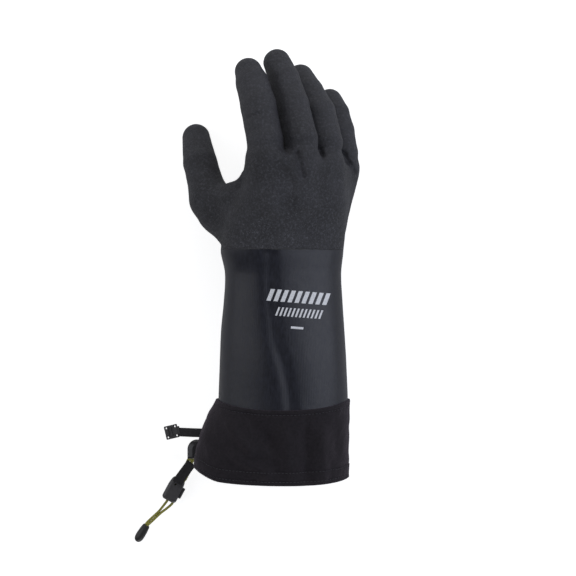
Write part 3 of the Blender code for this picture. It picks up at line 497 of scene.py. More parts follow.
def relax(points, quads, rounds):
    """Evens out the grid: each point moves towards the mean of its neighbours."""
    edges = np.concatenate([quads[:, [k, (k + 1) % 4]] for k in range(4)])
    edges = np.concatenate([edges, edges[:, ::-1]])
    count = np.bincount(edges[:, 0], minlength=len(points))
    for _ in range(rounds):
        total = np.zeros_like(points)
        np.add.at(total, edges[:, 0], points[edges[:, 1]])
        points = points + 0.5 * (total / np.maximum(count, 1)[:, None] - points)
    return points


# ------------------------------------------------------------------ meshes; a triangle ends in -1
def cut(points, faces, place, normal, which=None):
    """Cuts the chosen faces by a plane. Returns points, faces in front of it, all the others."""
    if which is None:
        which = np.ones(len(faces), bool)
    height = (points - np.asarray(place, float)) @ unit(normal)
    height[np.abs(height) < 1e-3] = 0.0
    corner_height = np.where(faces >= 0, height[faces], 0.0)
    above, below = (corner_height > 0).any(1), (corner_height < 0).any(1)
    added, made = [], {}
    new_front, new_back = [], []
    for face in faces[which & above & below].tolist():
        outline = [corner for corner in face if corner >= 0]
        front, back = [], []
        for i, start in enumerate(outline):
            end = outline[(i + 1) % len(outline)]
            if height[start] >= 0:
                front.append(start)
            if height[start] <= 0:
                back.append(start)
            if height[start] * height[end] < 0:
                first, second = key = (min(start, end), max(start, end))
                if key not in made:
                    share = height[first] / (height[first] - height[second])
                    made[key] = len(points) + len(added)
                    added.append(points[first] * (1 - share) + points[second] * share)
                front.append(made[key])
                back.append(made[key])
        for part, out in ((front, new_front), (back, new_back)):
            for k in range(1, len(part) - 1):
                out.append((part[0], part[k], part[k + 1], -1))
    points = np.vstack([points, np.array(added).reshape(-1, 3)])
    new_front, new_back = (np.array(new, int).reshape(-1, 4) for new in (new_front, new_back))
    return (points, np.concatenate([faces[which & above & ~below], new_front]),
            np.concatenate([faces[~which | ~above], new_back]))


def make_object(name, points, faces, material, normals=None, **attributes):
    """A mesh object; attributes hold one value for each point."""
    used, inverse = np.unique(faces[faces >= 0], return_inverse=True)
    corners = -np.ones(faces.shape, int)
    corners[faces >= 0] = inverse.reshape(-1)
    sizes = (corners >= 0).sum(1)
    starts = np.concatenate([[0], np.cumsum(sizes)[:-1]])
    mesh = bpy.data.meshes.new(name)
    mesh.vertices.add(len(used))
    mesh.vertices.foreach_set("co", ((points[used] + SHIFT) * MM).astype(np.float32).ravel())
    mesh.loops.add(int(sizes.sum()))
    mesh.loops.foreach_set("vertex_index", corners[corners >= 0].astype(np.int32))
    mesh.polygons.add(len(faces))
    mesh.polygons.foreach_set("loop_start", starts.astype(np.int32))
    mesh.polygons.foreach_set("use_smooth", np.full(len(faces), True))
    mesh.update(calc_edges=True)
    mesh.validate()
    rest = mesh.attributes.new("rest", "FLOAT_VECTOR", "POINT")
    rest.data.foreach_set("vector", points[used].astype(np.float32).ravel())
    for key, values in attributes.items():
        attribute = mesh.attributes.new(key, "FLOAT", "POINT")
        attribute.data.foreach_set("value", np.asarray(values)[used].astype(np.float32))
    if normals is not None:
        mesh.normals_split_custom_set_from_vertices(normals[used].astype(np.float32))
    mesh.materials.append(material)
    obj = bpy.data.objects.new(name, mesh)
    bpy.context.scene.collection.objects.link(obj)
    return obj


def attach(obj, body, slot, *replaced, bend=None):
    """Fixes an object to a body, or bakes its place in the scene when it lies between two, and hides
    the CAD nodes it replaces.
    """
    if bend is None:
        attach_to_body(obj, body)
    else:
        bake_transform(obj)
    if replaced:
        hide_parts(*replaced)


def centroids(points, faces):
    real = faces >= 0
    total = np.where(real[..., None], points[np.where(real, faces, 0)], 0.0).sum(1)
    return total / real.sum(1)[:, None]


def triangles(first, second, third):
    """Triangles from three rows of point numbers; a single number is repeated."""
    return np.stack(np.broadcast_arrays(first, second, third, -1), 1)


def grid_faces(rows, columns, closed=True, looped=False):
    """Quads of a grid; closed joins the last column to the first, looped the last row."""
    row, column = np.meshgrid(np.arange(rows if looped else rows - 1),
                              np.arange(columns if closed else columns - 1), indexing="ij")
    here, there = row * columns, (row + 1) % rows * columns
    beside = (column + 1) % columns
    corners = [here + column, here + beside, there + beside, there + column]
    return np.stack(corners, -1).reshape(-1, 4)


def join(parts):
    """Joins pairs of points and faces into one pair."""
    points, faces, count = [], [], 0
    for part_points, part_faces in parts:
        points.append(part_points)
        faces.append(np.where(part_faces >= 0, part_faces + count, -1))
        count += len(part_points)
    return np.concatenate(points), np.concatenate(faces)


def tangents_of(path):
    return unit(np.gradient(path, axis=0))


def tube(path, radius, sides, cap=True, start_side=None):
    """A smooth tube along a path: points, faces, share of the way around, length along."""
    path = np.asarray(path, float)
    radius = np.broadcast_to(radius, (len(path),))
    tangents = tangents_of(path)
    side = np.cross(tangents[0], Z_AXIS) if start_side is None else start_side
    if np.linalg.norm(side) < 1e-3:  # the path starts straight up or down
        side = X_AXIS
    angles = TAU * np.arange(sides) / sides
    rings = []
    for centre, tangent, ring_radius in zip(path, tangents, radius):
        side = unit(side - np.dot(side, tangent) * tangent)
        up = np.cross(side, tangent)
        rings.append(centre + ring_radius * (np.cos(angles)[:, None] * side
                                             + np.sin(angles)[:, None] * up))
    points = np.concatenate(rings)
    faces = grid_faces(len(path), sides)
    around = np.tile(np.arange(sides) / sides, len(path))
    run = np.concatenate([[0], np.cumsum(np.linalg.norm(np.diff(path, axis=0), axis=1))])
    along = np.repeat(run, sides)
    if cap:
        points = np.vstack([points, path[0], path[-1]])
        around = np.append(around, [0, 0])
        along = np.append(along, [0, run[-1]])
        here = np.arange(sides)
        beside = (here + 1) % sides
        last = (len(path) - 1) * sides
        faces = np.concatenate([faces, triangles(len(points) - 2, beside, here),
                                triangles(len(points) - 1, last + here, last + beside)])
    return points, faces, around, along


def catmull(points, count):
    """A smooth curve through the points, at count even steps."""
    points = np.asarray(points, float)
    last = len(points) - 1
    out = []
    for step in np.linspace(0, last, count):
        i = min(int(step), last - 1)
        out.append(spline(points[max(i - 1, 0)], points[i], points[i + 1],
                          points[min(i + 2, last)], step - i))
    return np.array(out)


def orient(points, faces):
    """Turns a closed body's faces outwards."""
    first, second, third, fourth = (points[faces[:, k]] for k in range(4))
    is_quad = faces[:, 3] >= 0
    volume = (first * np.cross(second, third)).sum()
    volume += (first * np.cross(third, fourth))[is_quad].sum()
    if volume > 0:
        return faces
    out = faces.copy()
    out[is_quad] = faces[is_quad][:, ::-1]
    out[~is_quad, :3] = faces[~is_quad, :3][:, ::-1]
    return out


def even_out(points, rounds, axis):
    """Smooths closed rings of points."""
    for _ in range(rounds):
        points = (np.roll(points, 1, axis) + 2 * points + np.roll(points, -1, axis)) / 4
    return points


# ------------------------------------------------------------------ materials
def is_socket(value):
    return hasattr(value, "is_output")


def rgba(colour):
    return colour if is_socket(colour) else (*colour, 1.0)


class Material:
    """Short hand for building a node material; textures are laid out in mm."""

    def __init__(self, name):
        self.material = bpy.data.materials.new(name)
        self.material.use_nodes = True
        self.tree = self.material.node_tree
        self.shader = self.tree.nodes["Principled BSDF"]

    def node(self, kind, **values):
        node = self.tree.nodes.new(kind)
        for key, value in values.items():
            setattr(node, key, value)
        return node

    def put(self, target, value):
        if is_socket(value):
            self.tree.links.new(value, target)
        else:
            target.default_value = value

    def attribute(self, name, output="Fac"):
        return self.node("ShaderNodeAttribute", attribute_name=name).outputs[output]

    def rest(self):
        return self.attribute("rest", "Vector")

    def split(self, vector):
        node = self.node("ShaderNodeSeparateXYZ")
        self.put(node.inputs[0], vector)
        return node.outputs

    def math(self, operation, *values):
        node = self.node("ShaderNodeMath", operation=operation)
        for socket, value in zip(node.inputs, (*values, 0.0, 0.0)):
            self.put(socket, value)
        return node.outputs[0]

    def plus(self, value, other):
        return self.math("ADD", value, other)

    def times(self, value, factor):
        return self.math("MULTIPLY", value, factor)

    def line(self, value, factor, offset):
        return self.math("MULTIPLY_ADD", value, factor, offset)

    def sine(self, value, rate):
        return self.math("SINE", self.times(value, rate))

    def noise(self, vector, scale, detail=2.0, roughness=0.5):
        node = self.node("ShaderNodeTexNoise")
        for key, value in (("Vector", vector), ("Scale", scale), ("Detail", detail),
                           ("Roughness", roughness)):
            self.put(node.inputs[key], value)
        return node.outputs["Fac"]

    def ramp(self, value, low, high, to_low=0.0, to_high=1.0):
        node = self.node("ShaderNodeMapRange")
        for key, setting in (("Value", value), ("From Min", low), ("From Max", high),
                             ("To Min", to_low), ("To Max", to_high)):
            self.put(node.inputs[key], setting)
        return node.outputs[0]

    def mix(self, factor, first, second):
        node = self.node("ShaderNodeMix", data_type="RGBA")
        self.put(node.inputs[0], factor)
        self.put(node.inputs[6], rgba(first))
        self.put(node.inputs[7], rgba(second))
        return node.outputs[2]

    def bump(self, height, distance, strength):
        node = self.node("ShaderNodeBump")
        self.put(node.inputs["Height"], height)
        self.put(node.inputs["Distance"], distance * MM)
        self.put(node.inputs["Strength"], strength)
        return node.outputs[0]

    def finish(self, colour, rough, normal=None, **more):
        inputs = self.shader.inputs
        self.put(inputs["Base Color"], rgba(colour))
        self.put(inputs["Roughness"], rough)
        if normal is not None:
            self.put(inputs["Normal"], normal)
        for key, value in more.items():
            self.put(inputs[key.replace("_", " ")], value)
        return self.material


def skin_material():
    """Gritty coat on the hand; a knitted sleeve under a thin coat below its ragged edge."""
    mat = Material("dipped_skin")
    place = mat.rest()
    y = mat.split(place)[1]
    ragged = mat.plus(y, mat.times(mat.noise(place, scale=0.25, detail=3.0), factor=1.2))
    hand = mat.ramp(ragged, low=COAT_EDGE + 0.45, high=COAT_EDGE + 0.95)

    mottled = mat.noise(place, scale=0.045, detail=3.0)
    fine = mat.noise(place, scale=1.1, detail=4.0, roughness=0.65)
    coat = mat.mix(mat.ramp(mottled, low=0.35, high=0.65),
                   first=(0.0125, 0.0124, 0.0158), second=(0.0270, 0.0268, 0.0325))
    # painted highlight: the fingers are painted paler than the back of the hand, and flecks break the
    # coat up all over
    coat = mat.mix(mat.ramp(y, low=250.0, high=300.0, to_high=0.45), coat,
                   second=(0.048, 0.048, 0.056))
    flecks = mat.noise(place, scale=0.55, detail=4.0, roughness=0.75)
    flecks = mat.times(mat.ramp(flecks, low=0.50, high=0.66), hand)
    coat = mat.mix(mat.times(flecks, factor=0.72), coat, second=(0.078, 0.080, 0.094))
    # pale specks, more of them towards the wrist
    speck_zone = mat.times(mat.ramp(y, low=250.0, high=188.0), hand)
    specks = mat.ramp(mat.noise(place, scale=0.85, roughness=0.7), low=0.60, high=0.70)
    specks = mat.times(specks, mat.line(speck_zone, factor=0.75, offset=0.15))
    coat = mat.mix(specks, coat, second=(0.130, 0.136, 0.155))

    ribs = mat.sine(mat.attribute("girth"), rate=TAU * 196)
    stretched = mat.node("ShaderNodeVectorMath", operation="MULTIPLY")
    mat.put(stretched.inputs[0], place)
    mat.put(stretched.inputs[1], (1.0, 0.30, 1.0))
    streak = mat.noise(stretched.outputs[0], scale=0.55, detail=3.0, roughness=0.6)
    sleeve = mat.mix(mat.ramp(streak, low=0.35, high=0.68),
                     first=(0.0046, 0.0050, 0.0102), second=(0.0104, 0.0116, 0.0212))
    colour = mat.mix(hand, sleeve, coat)

    rough_sleeve = mat.ramp(streak, low=0.3, high=0.7, to_low=0.35, to_high=0.47)
    rough_coat = mat.ramp(fine, low=0.3, high=0.7, to_low=0.52, to_high=0.70)
    rough = mat.plus(mat.times(rough_coat, hand),
                     mat.times(rough_sleeve, mat.math("SUBTRACT", 1.0, hand)))

    # relief: grit on the hand, ribs on the sleeve, and the thickness of the coat at its edge
    coarse = mat.times(mat.noise(place, scale=0.35, detail=3.0), factor=0.8)
    grit = mat.times(mat.plus(fine, coarse), mat.line(hand, factor=0.95, offset=0.022))
    rib = mat.times(ribs, mat.times(mat.math("SUBTRACT", 1.0, hand), factor=0.012))
    lumps = mat.times(mat.noise(place, scale=0.11), mat.line(hand, factor=0.70, offset=0.22))
    height = mat.plus(mat.plus(grit, rib), mat.plus(mat.times(hand, factor=0.30), lumps))
    return mat.finish(colour, rough, mat.bump(height, distance=1.0, strength=0.9),
                      Specular_IOR_Level=0.5)


def woven_material():
    mat = Material("woven_cuff")
    thread_rate = TAU / 1.1
    girth = mat.attribute("girth")
    place = mat.rest()
    warp = mat.sine(girth, thread_rate)
    weft = mat.sine(mat.split(place)[1], thread_rate)
    weave = mat.times(warp, weft)
    slub = mat.noise(place, scale=0.5, detail=3.0)
    colour = mat.mix(mat.ramp(slub, low=0.3, high=0.7),
                     first=(0.0064, 0.0049, 0.0068), second=(0.0128, 0.0100, 0.0134))
    height = mat.plus(mat.times(weave, factor=0.055), mat.times(slub, factor=0.35))
    return mat.finish(colour, rough=0.78, normal=mat.bump(height, distance=1.0, strength=0.8),
                      Specular_IOR_Level=0.32, Sheen_Weight=0.25, Sheen_Roughness=0.5,
                      Sheen_Tint=(0.36, 0.28, 0.37, 1.0))


def fleece_material():
    mat = Material("fleece_lining")
    tuft = mat.noise(mat.rest(), scale=0.45, detail=4.0, roughness=0.7)
    colour = mat.mix(mat.ramp(tuft, low=0.3, high=0.7),
                     first=(0.40, 0.40, 0.43), second=(0.66, 0.66, 0.68))
    return mat.finish(colour, rough=0.95, normal=mat.bump(tuft, distance=2.2, strength=0.9),
                      Specular_IOR_Level=0.15, Sheen_Weight=0.4, Sheen_Roughness=0.6)


def webbing_material():
    mat = Material("ribbed_webbing")
    rib_rate = TAU / 1.0
    place = mat.rest()
    x, y, _ = mat.split(place)
    rows = mat.sine(mat.plus(y, mat.times(x, factor=0.5)), rib_rate)
    lanes = mat.sine(mat.math("SUBTRACT", x, mat.times(y, factor=0.5)), rib_rate)
    fuzz = mat.noise(place, scale=0.9)
    colour = mat.mix(fuzz, first=(0.014, 0.0132, 0.015), second=(0.025, 0.0235, 0.026))
    height = mat.plus(mat.times(mat.times(rows, lanes), factor=0.12),
                      mat.times(fuzz, factor=0.2))
    return mat.finish(colour, rough=0.72, normal=mat.bump(height, distance=1.0, strength=0.7),
                      Specular_IOR_Level=0.35)


def cord_material():
    """Two sets of braided strands, wound opposite ways."""
    mat = Material("braided_cord")
    around, along = mat.attribute("around"), mat.attribute("along")
    strands = [mat.sine(mat.math(winding, mat.times(around, factor=4.0),
                                 mat.times(along, factor=0.42)), rate=TAU)
               for winding in ("ADD", "SUBTRACT")]
    braid = mat.math("MAXIMUM", *strands)
    fleck = mat.noise(mat.rest(), scale=1.3)
    colour = mat.mix(mat.ramp(braid, low=-0.2, high=1.0),
                     first=(0.150, 0.140, 0.026), second=(0.440, 0.415, 0.078))
    colour = mat.mix(mat.ramp(fleck, low=0.60, high=0.74), colour, second=(0.060, 0.056, 0.030))
    normal = mat.bump(mat.times(braid, factor=0.16), distance=1.0, strength=0.9)
    return mat.finish(colour, rough=0.70, normal=normal, Specular_IOR_Level=0.35)


def plastic_material(name, colour, rough, grain=0.06):
    mat = Material(name)
    place = mat.rest()
    fine = mat.noise(place, scale=1.6)
    cloud = mat.noise(place, scale=0.12)
    shade = mat.mix(mat.ramp(cloud, low=0.3, high=0.7),
                    first=tuple(0.88 * part for part in colour),
                    second=tuple(1.12 * part for part in colour))
    spread = mat.ramp(fine, low=0.3, high=0.7, to_low=rough - 0.05, to_high=rough + 0.05)
    return mat.finish(shade, spread, mat.bump(fine, distance=grain, strength=0.8),
                      Specular_IOR_Level=0.5)


def steel_material():
    mat = Material("spring_steel")
    to_mm = mat.node("ShaderNodeVectorMath", operation="SCALE")
    mat.put(to_mm.inputs[0], mat.node("ShaderNodeTexCoord").outputs["Object"])
    to_mm.inputs["Scale"].default_value = 1000.0
    rough = mat.ramp(mat.noise(to_mm.outputs[0], scale=2.0),
                     low=0.3, high=0.7, to_low=0.25, to_high=0.4)
    return mat.finish(colour=(0.45, 0.45, 0.46), rough=rough, Metallic=1.0)


def thread_material():
    mat = Material("stitch_thread")
    colour = mat.mix(mat.noise(mat.rest(), scale=1.5),
                     first=(0.030, 0.029, 0.034), second=(0.050, 0.048, 0.055))
    return mat.finish(colour, rough=0.65, Specular_IOR_Level=0.4)


def print_material():
    mat = Material("white_print")
    place = mat.rest()
    wear = mat.ramp(mat.noise(place, scale=0.9, detail=3.0), low=0.25, high=0.5)
    colour = mat.mix(wear, first=(0.62, 0.63, 0.66), second=(0.80, 0.81, 0.84))
    normal = mat.bump(mat.noise(place, scale=1.4), distance=0.12, strength=0.6)
    return mat.finish(colour, rough=0.55, normal=normal)


SKIN, WOVEN, FLEECE = skin_material(), woven_material(), fleece_material()
WEBBING, CORD = webbing_material(), cord_material()
CLIP = plastic_material("clip_plastic", colour=(0.031, 0.029, 0.030), rough=0.40)
LOCK = plastic_material("lock_plastic", colour=(0.056, 0.054, 0.056), rough=0.36)
GLOSSY = plastic_material("outlet_plastic", colour=(0.022, 0.021, 0.023), rough=0.24, grain=0.02)
BUTTON = plastic_material("button_plastic", colour=(0.030, 0.029, 0.031), rough=0.40)
STEEL, THREAD, PRINT = steel_material(), thread_material(), print_material()
END_CAP = plastic_material("end_cap_plastic", colour=(0.024, 0.023, 0.022), rough=0.38)

# ------------------------------------------------------------------ skin
SKIN_STEP = 1.15
SKIN_LOW, SKIN_HIGH = (-93, 50.0, -3), (73, 361, 113)
# where each finger's cuts lie past its joints: before the base, two folds, and the bend's end
FINGER_CUTS = {
    "index": (-3.6, 14.0, 11.0, 9.0),
    "middle": (-3.6, 14.0, 11.0, 9.0),
    "ring": (-3.6, 13.5, 10.5, 8.5),
    "little": (-2.6, 9.0, 7.5, 8.0),
}
THUMB_PLANE, THUMB_WAY = np.array([-42.0, 236.0, 50.0]), unit([-0.80, 0.56, -0.22])


def piece(faces, body, bend, *parts):
    """A piece of skin; it replaces the CAD shell and liner of the parts named."""
    replaced = [f"{part}_{layer}" for part in parts for layer in ("shell", "liner")]
    return SimpleNamespace(faces=faces, body=body, bend=bend, replaced=replaced)


def cut_fingers(points, rest, pieces):
    """Cuts each finger off the rest, and then into base, middle and tip."""
    places = [-1e3, *(place for place, _ in GAPS), 1e3]
    for i, name in enumerate(FINGERS):
        chain = CHAINS[name][0]
        root_way, base_way, middle_way, tip_way = (
            unit(chain[k + 1] - chain[k]) for k in range(4))
        root_off, base_off, middle_off, tip_off = FINGER_CUTS[name]
        root = chain[1] + root_way * root_off
        base_fold = chain[1] + base_way * base_off
        middle_fold = chain[2] + middle_way * middle_off
        tip_end = chain[3] + tip_way * tip_off
        middles = centroids(points, rest)
        place, y, z = middles @ ACROSS, middles[:, 1], middles[:, 2]
        mine = (place > places[i]) & (place < places[i + 1]) & (y > 255.0)
        if name == "index":
            mine &= ~((y < 296.0) & (z < 52.0))  # leaves out the thumb
        points, finger, rest = cut(points, rest, root, root_way, mine)
        points, beyond, base = cut(points, finger, base_fold, base_way)
        points, tip, middle = cut(points, beyond, middle_fold, middle_way)
        base_end = root + root_way * np.dot(base_fold - root, root_way)
        for part, before, faces, bend in (
            ("base", "hand", base, (root, base_end)),
            ("middle", f"{name}_base", middle, (base_fold, middle_fold)),
            ("tip", f"{name}_middle", tip, (middle_fold, tip_end)),
        ):
            part = f"{name}_{part}"
            pieces[f"{part}_skin"] = piece(faces, (before, part), bend, part)
    return points, rest


def cut_thumb(points, rest, pieces):
    chain = CHAINS["thumb"][0]
    base_way, tip_way = unit(chain[2] - chain[1]), unit(chain[3] - chain[2])
    x, y, z = centroids(points, rest).T
    mine = (x < -30.0) & (z < 62.0) & (y > 200.0) & (y < 296.0)
    points, thumb, rest = cut(points, rest, THUMB_PLANE, THUMB_WAY, mine)
    fold = chain[1] + base_way * 22.0
    points, tip, base = cut(points, thumb, fold, base_way)
    pieces["thumb_base_skin"] = piece(base, ("hand", "thumb_base"),
                                      (THUMB_PLANE, THUMB_PLANE + THUMB_WAY * 24.0), "thumb_base")
    pieces["thumb_tip_skin"] = piece(tip, ("thumb_base", "thumb_tip"),
                                     (fold, chain[2] + tip_way * 12.0), "thumb_tip")
    return points, rest


def cut_body(points, rest, pieces):
    """Cuts what is left into palm, wrist and sleeve."""
    points, palm, below = cut(points, rest, (0, WRIST_BAND[1], 0), Y_AXIS)
    points, wrist, sleeve = cut(points, below, (0, WRIST_BAND[0], 0), Y_AXIS)
    points, sleeve, _ = cut(points, sleeve, (0, SKIN_START, 0), Y_AXIS)
    pieces["palm_skin"] = piece(palm, "hand", None)
    pieces["palm_skin"].replaced = ["palm_shell"]
    pieces["wrist_skin"] = piece(wrist, ("gauntlet", "hand"), WRIST_BEND)
    pieces["gauntlet_skin"] = piece(sleeve, "gauntlet", None)
    pieces["gauntlet_skin"].replaced = ["gauntlet_shell"]
    return points


def fit_bends(points, pieces):
    """Starts and ends each bend where the piece meets its neighbours, so no joint opens."""
    def shared(first, second):
        both = np.intersect1d(first.faces, second.faces)
        return points[both[both >= 0]]

    lines = [[f"{name}_{part}_skin" for part in ("base", "middle", "tip")] for name in FINGERS]
    lines.append(["thumb_base_skin", "thumb_tip_skin"])
    for line in lines:
        line = [pieces[name] for name in ["palm_skin", *line]]
        for k in range(1, len(line)):
            start, end = line[k].bend
            way, high = unit(end - start), float(np.linalg.norm(end - start))
            low = max(float(((shared(line[k - 1], line[k]) - start) @ way).max()), 0.0)
            if k + 1 < len(line):
                meeting = (shared(line[k], line[k + 1]) - start) @ way
                high = min(float(meeting.min()), high)
            line[k].bend = (start + way * low, start + way * high)


def build_skin():
    points, faces = polygonise(field, SKIN_LOW, SKIN_HIGH, SKIN_STEP)
    points = relax(points, faces, rounds=2)
    points = settle(field, points, steps=2, most=0.8)
    pieces = {}
    points, rest = cut_fingers(points, faces, pieces)
    points, rest = cut_thumb(points, rest, pieces)
    points = cut_body(points, rest, pieces)
    fit_bends(points, pieces)
    normals = unit(chunked(lambda some: gradient(field, some, 0.45), points, 150000))
    x, y, z = points.T
    centre_x, centre_z = (np.interp(y, YS, CENTRES[:, k]) for k in (0, 1))
    girth = np.arctan2(x - centre_x, z - centre_z) / TAU
    for name, part in pieces.items():
        obj = make_object(name, points, part.faces, SKIN, normals, girth=girth)
        slot = "gauntlet_skin" if name in ("wrist_skin", "gauntlet_skin") else "hand_coat"
        attach(obj, part.body, slot, *part.replaced, bend=part.bend)


build_skin()

# ------------------------------------------------------------------ fleece lining
LINING_YS = np.concatenate([
    [53.1, 53.3, 53.9, 54.8], np.arange(56.0, WRIST_BAND[0], 3.0),
    np.arange(WRIST_BAND[0], WRIST_BAND[1] + 0.1, 2.0), np.arange(207.0, 252.0, 3.0),
])
LINING_TIP_Y = 256.0


def lining():
    """One bag under the skin, closed in the palm, its faces turned inwards to the hand."""
    angles = TAU * np.arange(ANGLES) / ANGLES
    way = np.stack([np.cos(angles), np.zeros(ANGLES), np.sin(angles)], 1)
    rings = []
    for y in LINING_YS:
        level = (y - YS[0]) / (YS[1] - YS[0])
        j = int(level)
        share = level - j
        radius = RADII[j] * (1 - share) + RADII[j + 1] * share
        centre_x, centre_z = CENTRES[j] * (1 - share) + CENTRES[j + 1] * share
        # the edge is rounded at the opening, and the end closes in towards the palm's middle
        inset = float(np.interp(y, [53.1, 53.3, 53.9, 54.8, 56.0], [-0.1, 1.4, 2.9, 3.7, 4.0]))
        if y > 232.0:
            inset = 4.0 + 16.0 * smooth((y - 232.0) / 20.0) ** 1.5
        rings.append(np.array([centre_x, y, centre_z]) + (radius - inset)[:, None] * way)
    points = np.concatenate(rings)
    bump = wave(points, 21, 9.0) * 0.22 + wave(points, 22, 24.0) * 0.35
    points = points - np.tile(way, (len(rings), 1)) * np.clip(bump, -0.1, 1.2)[:, None]
    last = (len(rings) - 1) * ANGLES
    k = np.arange(ANGLES)
    faces = np.concatenate([grid_faces(len(rings), ANGLES),
                            triangles(last + k, last + (k + 1) % ANGLES, len(points))])
    points = np.vstack([points, [[CENTRES[-1][0], LINING_TIP_Y, CENTRES[-1][1]]]])
    middle_y = centroids(points, faces)[:, 1]
    for name, low, high, body, replaced, bend in (
        ("gauntlet_fleece", 0, WRIST_BAND[0], "gauntlet", ["gauntlet_liner"], None),
        ("wrist_fleece", *WRIST_BAND, ("gauntlet", "hand"), [], WRIST_BEND),
        ("palm_fleece", WRIST_BAND[1], 999, "hand", ["palm_liner"], None),
    ):
        obj = make_object(name, points, faces[(middle_y > low) & (middle_y < high)], FLEECE)
        attach(obj, body, "fleece", *replaced, bend=bend)


lining()

# ------------------------------------------------------------------ woven cuff
# y, centre x, half width, height, floor
CUFF_SECTIONS = np.array([
    (-4.0, -9.7, 63.9, 87.0, 0.0),
    (8.6, -9.6, 63.8, 87.5, 0.0),
    (20.0, -9.0, 63.0, 88.0, 0.0),
    (34.0, -7.1, 61.1, 88.0, 0.0),
    (48.0, -3.9, 58.7, 87.5, 1.0),
    (60.1, -0.2, 55.2, 86.5, 3.0),
    (70.0, 0.3, 53.0, 84.4, 5.0),
])
# folds on the upper side: start (x, y), end (x, y), width, height
CUFF_FOLDS = [
    ((-45.5, 50.0), (-25.0, 24.0), 4.6, 3.3),
    ((-30.0, 56.0), (-10.0, 30.0), 5.6, -2.0),
    ((18.0, 54.0), (19.5, 2.0), 4.6, -2.7),
    ((31.0, 42.0), (32.5, 0.0), 4.8, 2.3),
    ((2.0, 46.0), (6.0, 4.0), 5.0, 1.5),
    ((-12.0, 44.0), (-6.0, 12.0), 4.2, -1.2),
    ((-40.0, 22.0), (-12.0, 6.0), 4.8, 1.9),
    ((-58.0, 34.0), (-40.0, 12.0), 4.6, -1.5),
    ((42.0, 50.0), (45.0, 18.0), 4.0, -1.3),
]
CUFF_COLUMNS, CUFF_ROWS = 420, 88
CUFF_TOP, CUFF_BOTTOM = 61.0, 3.0  # y of the straight sections, before the seam and hem curve
CLOTH = 1.25  # thickness
HEM_BAND = 11.2  # the hem's depth
HEM_STITCHES = (3.0, HEM_BAND - 0.9)  # stitch rows, from the hem's edge
SEAM_STITCHES = 3.4  # from the seam's edge
STITCH_PITCH, STITCH_LENGTH = 2.9, 2.0
HEM_ROW = int(round(CUFF_ROWS * (1 - HEM_BAND / 60.0)))
SEAM_ROW = 5


def cuff_outline(y):
    """The section at y from under its middle: x, z, outward x and z, and distance round it."""
    centre_x, half, height, floor = (
        np.interp(y, CUFF_SECTIONS[:, 0], CUFF_SECTIONS[:, k]) for k in range(1, 5))
    centre_z, half_height = height / 2 - 0.8, height / 2 + 0.8
    angles = np.linspace(0, TAU, 1440, endpoint=False) - math.pi / 2
    cosine, sine = np.cos(angles), np.sin(angles)
    power = 2 / 2.3
    x = centre_x + half * np.sign(cosine) * np.abs(cosine) ** power
    z = centre_z + half_height * np.sign(sine) * np.abs(sine) ** power
    z = np.maximum(z, floor)
    x, z = np.append(x, x[0]), np.append(z, z[0])
    run = np.concatenate([[0], np.cumsum(np.hypot(np.diff(x), np.diff(z)))])
    wanted = np.arange(CUFF_COLUMNS) / CUFF_COLUMNS * run[-1]
    x, z = np.interp(wanted, run, x), np.interp(wanted, run, z)
    along_x = np.roll(x, -1) - np.roll(x, 1)
    along_z = np.roll(z, -1) - np.roll(z, 1)
    size = np.hypot(along_x, along_z)
    return x, z, along_z / size, -along_x / size, wanted


def seam_y(z):
    """The seam and the hem dip towards the opening on the upper side."""
    return 64.2 - 6.6 * np.clip((z - 40.0) / 46.0, 0.0, 1.1) ** 2


def hem_y(x, z):
    return (2.8 - 4.6 * np.clip((z - 30.0) / 56.0, 0.0, 1.1) ** 2
            + 6.0 * np.clip((-x - 52.0) / 20.0, 0, 1) ** 1.5
            - 0.022 * np.clip(x + 9.0, -45.0, 45.0))


def bell(distance, width):
    return np.exp(-((distance / width) ** 2))


def line_ridge(x, y, start, end, width, height):
    run, rise = end[0] - start[0], end[1] - start[1]
    length = math.hypot(run, rise)
    off_x, off_y = x - start[0], y - start[1]
    share = (off_x * run + off_y * rise) / length ** 2
    across = (off_x * rise - off_y * run) / length
    ends = smooth((share + 0.25) / 0.35) * smooth((1.25 - share) / 0.35)
    return height * ends * bell(across, width)


def cuff_folds(x, y, z):
    """Folds on the upper side and upright ripples on the flanks, fading towards the seam."""
    ridges = sum(line_ridge(x, y, *fold) for fold in CUFF_FOLDS)
    top = smooth((z - 38.0) / 34.0)
    flank = smooth((70.0 - z) / 30.0) * smooth((z - 8.0) / 18.0)
    sway = (np.sin(z / 7.0 + 0.06 * y * np.sign(x)) * 0.7
            + np.sin(z / 12.5 + 1.3 + 0.04 * y) * 0.9)
    grow = smooth((58.0 - y) / 24.0)
    return (ridges * top + sway * flank * 0.9) * (0.25 + 0.75 * grow)


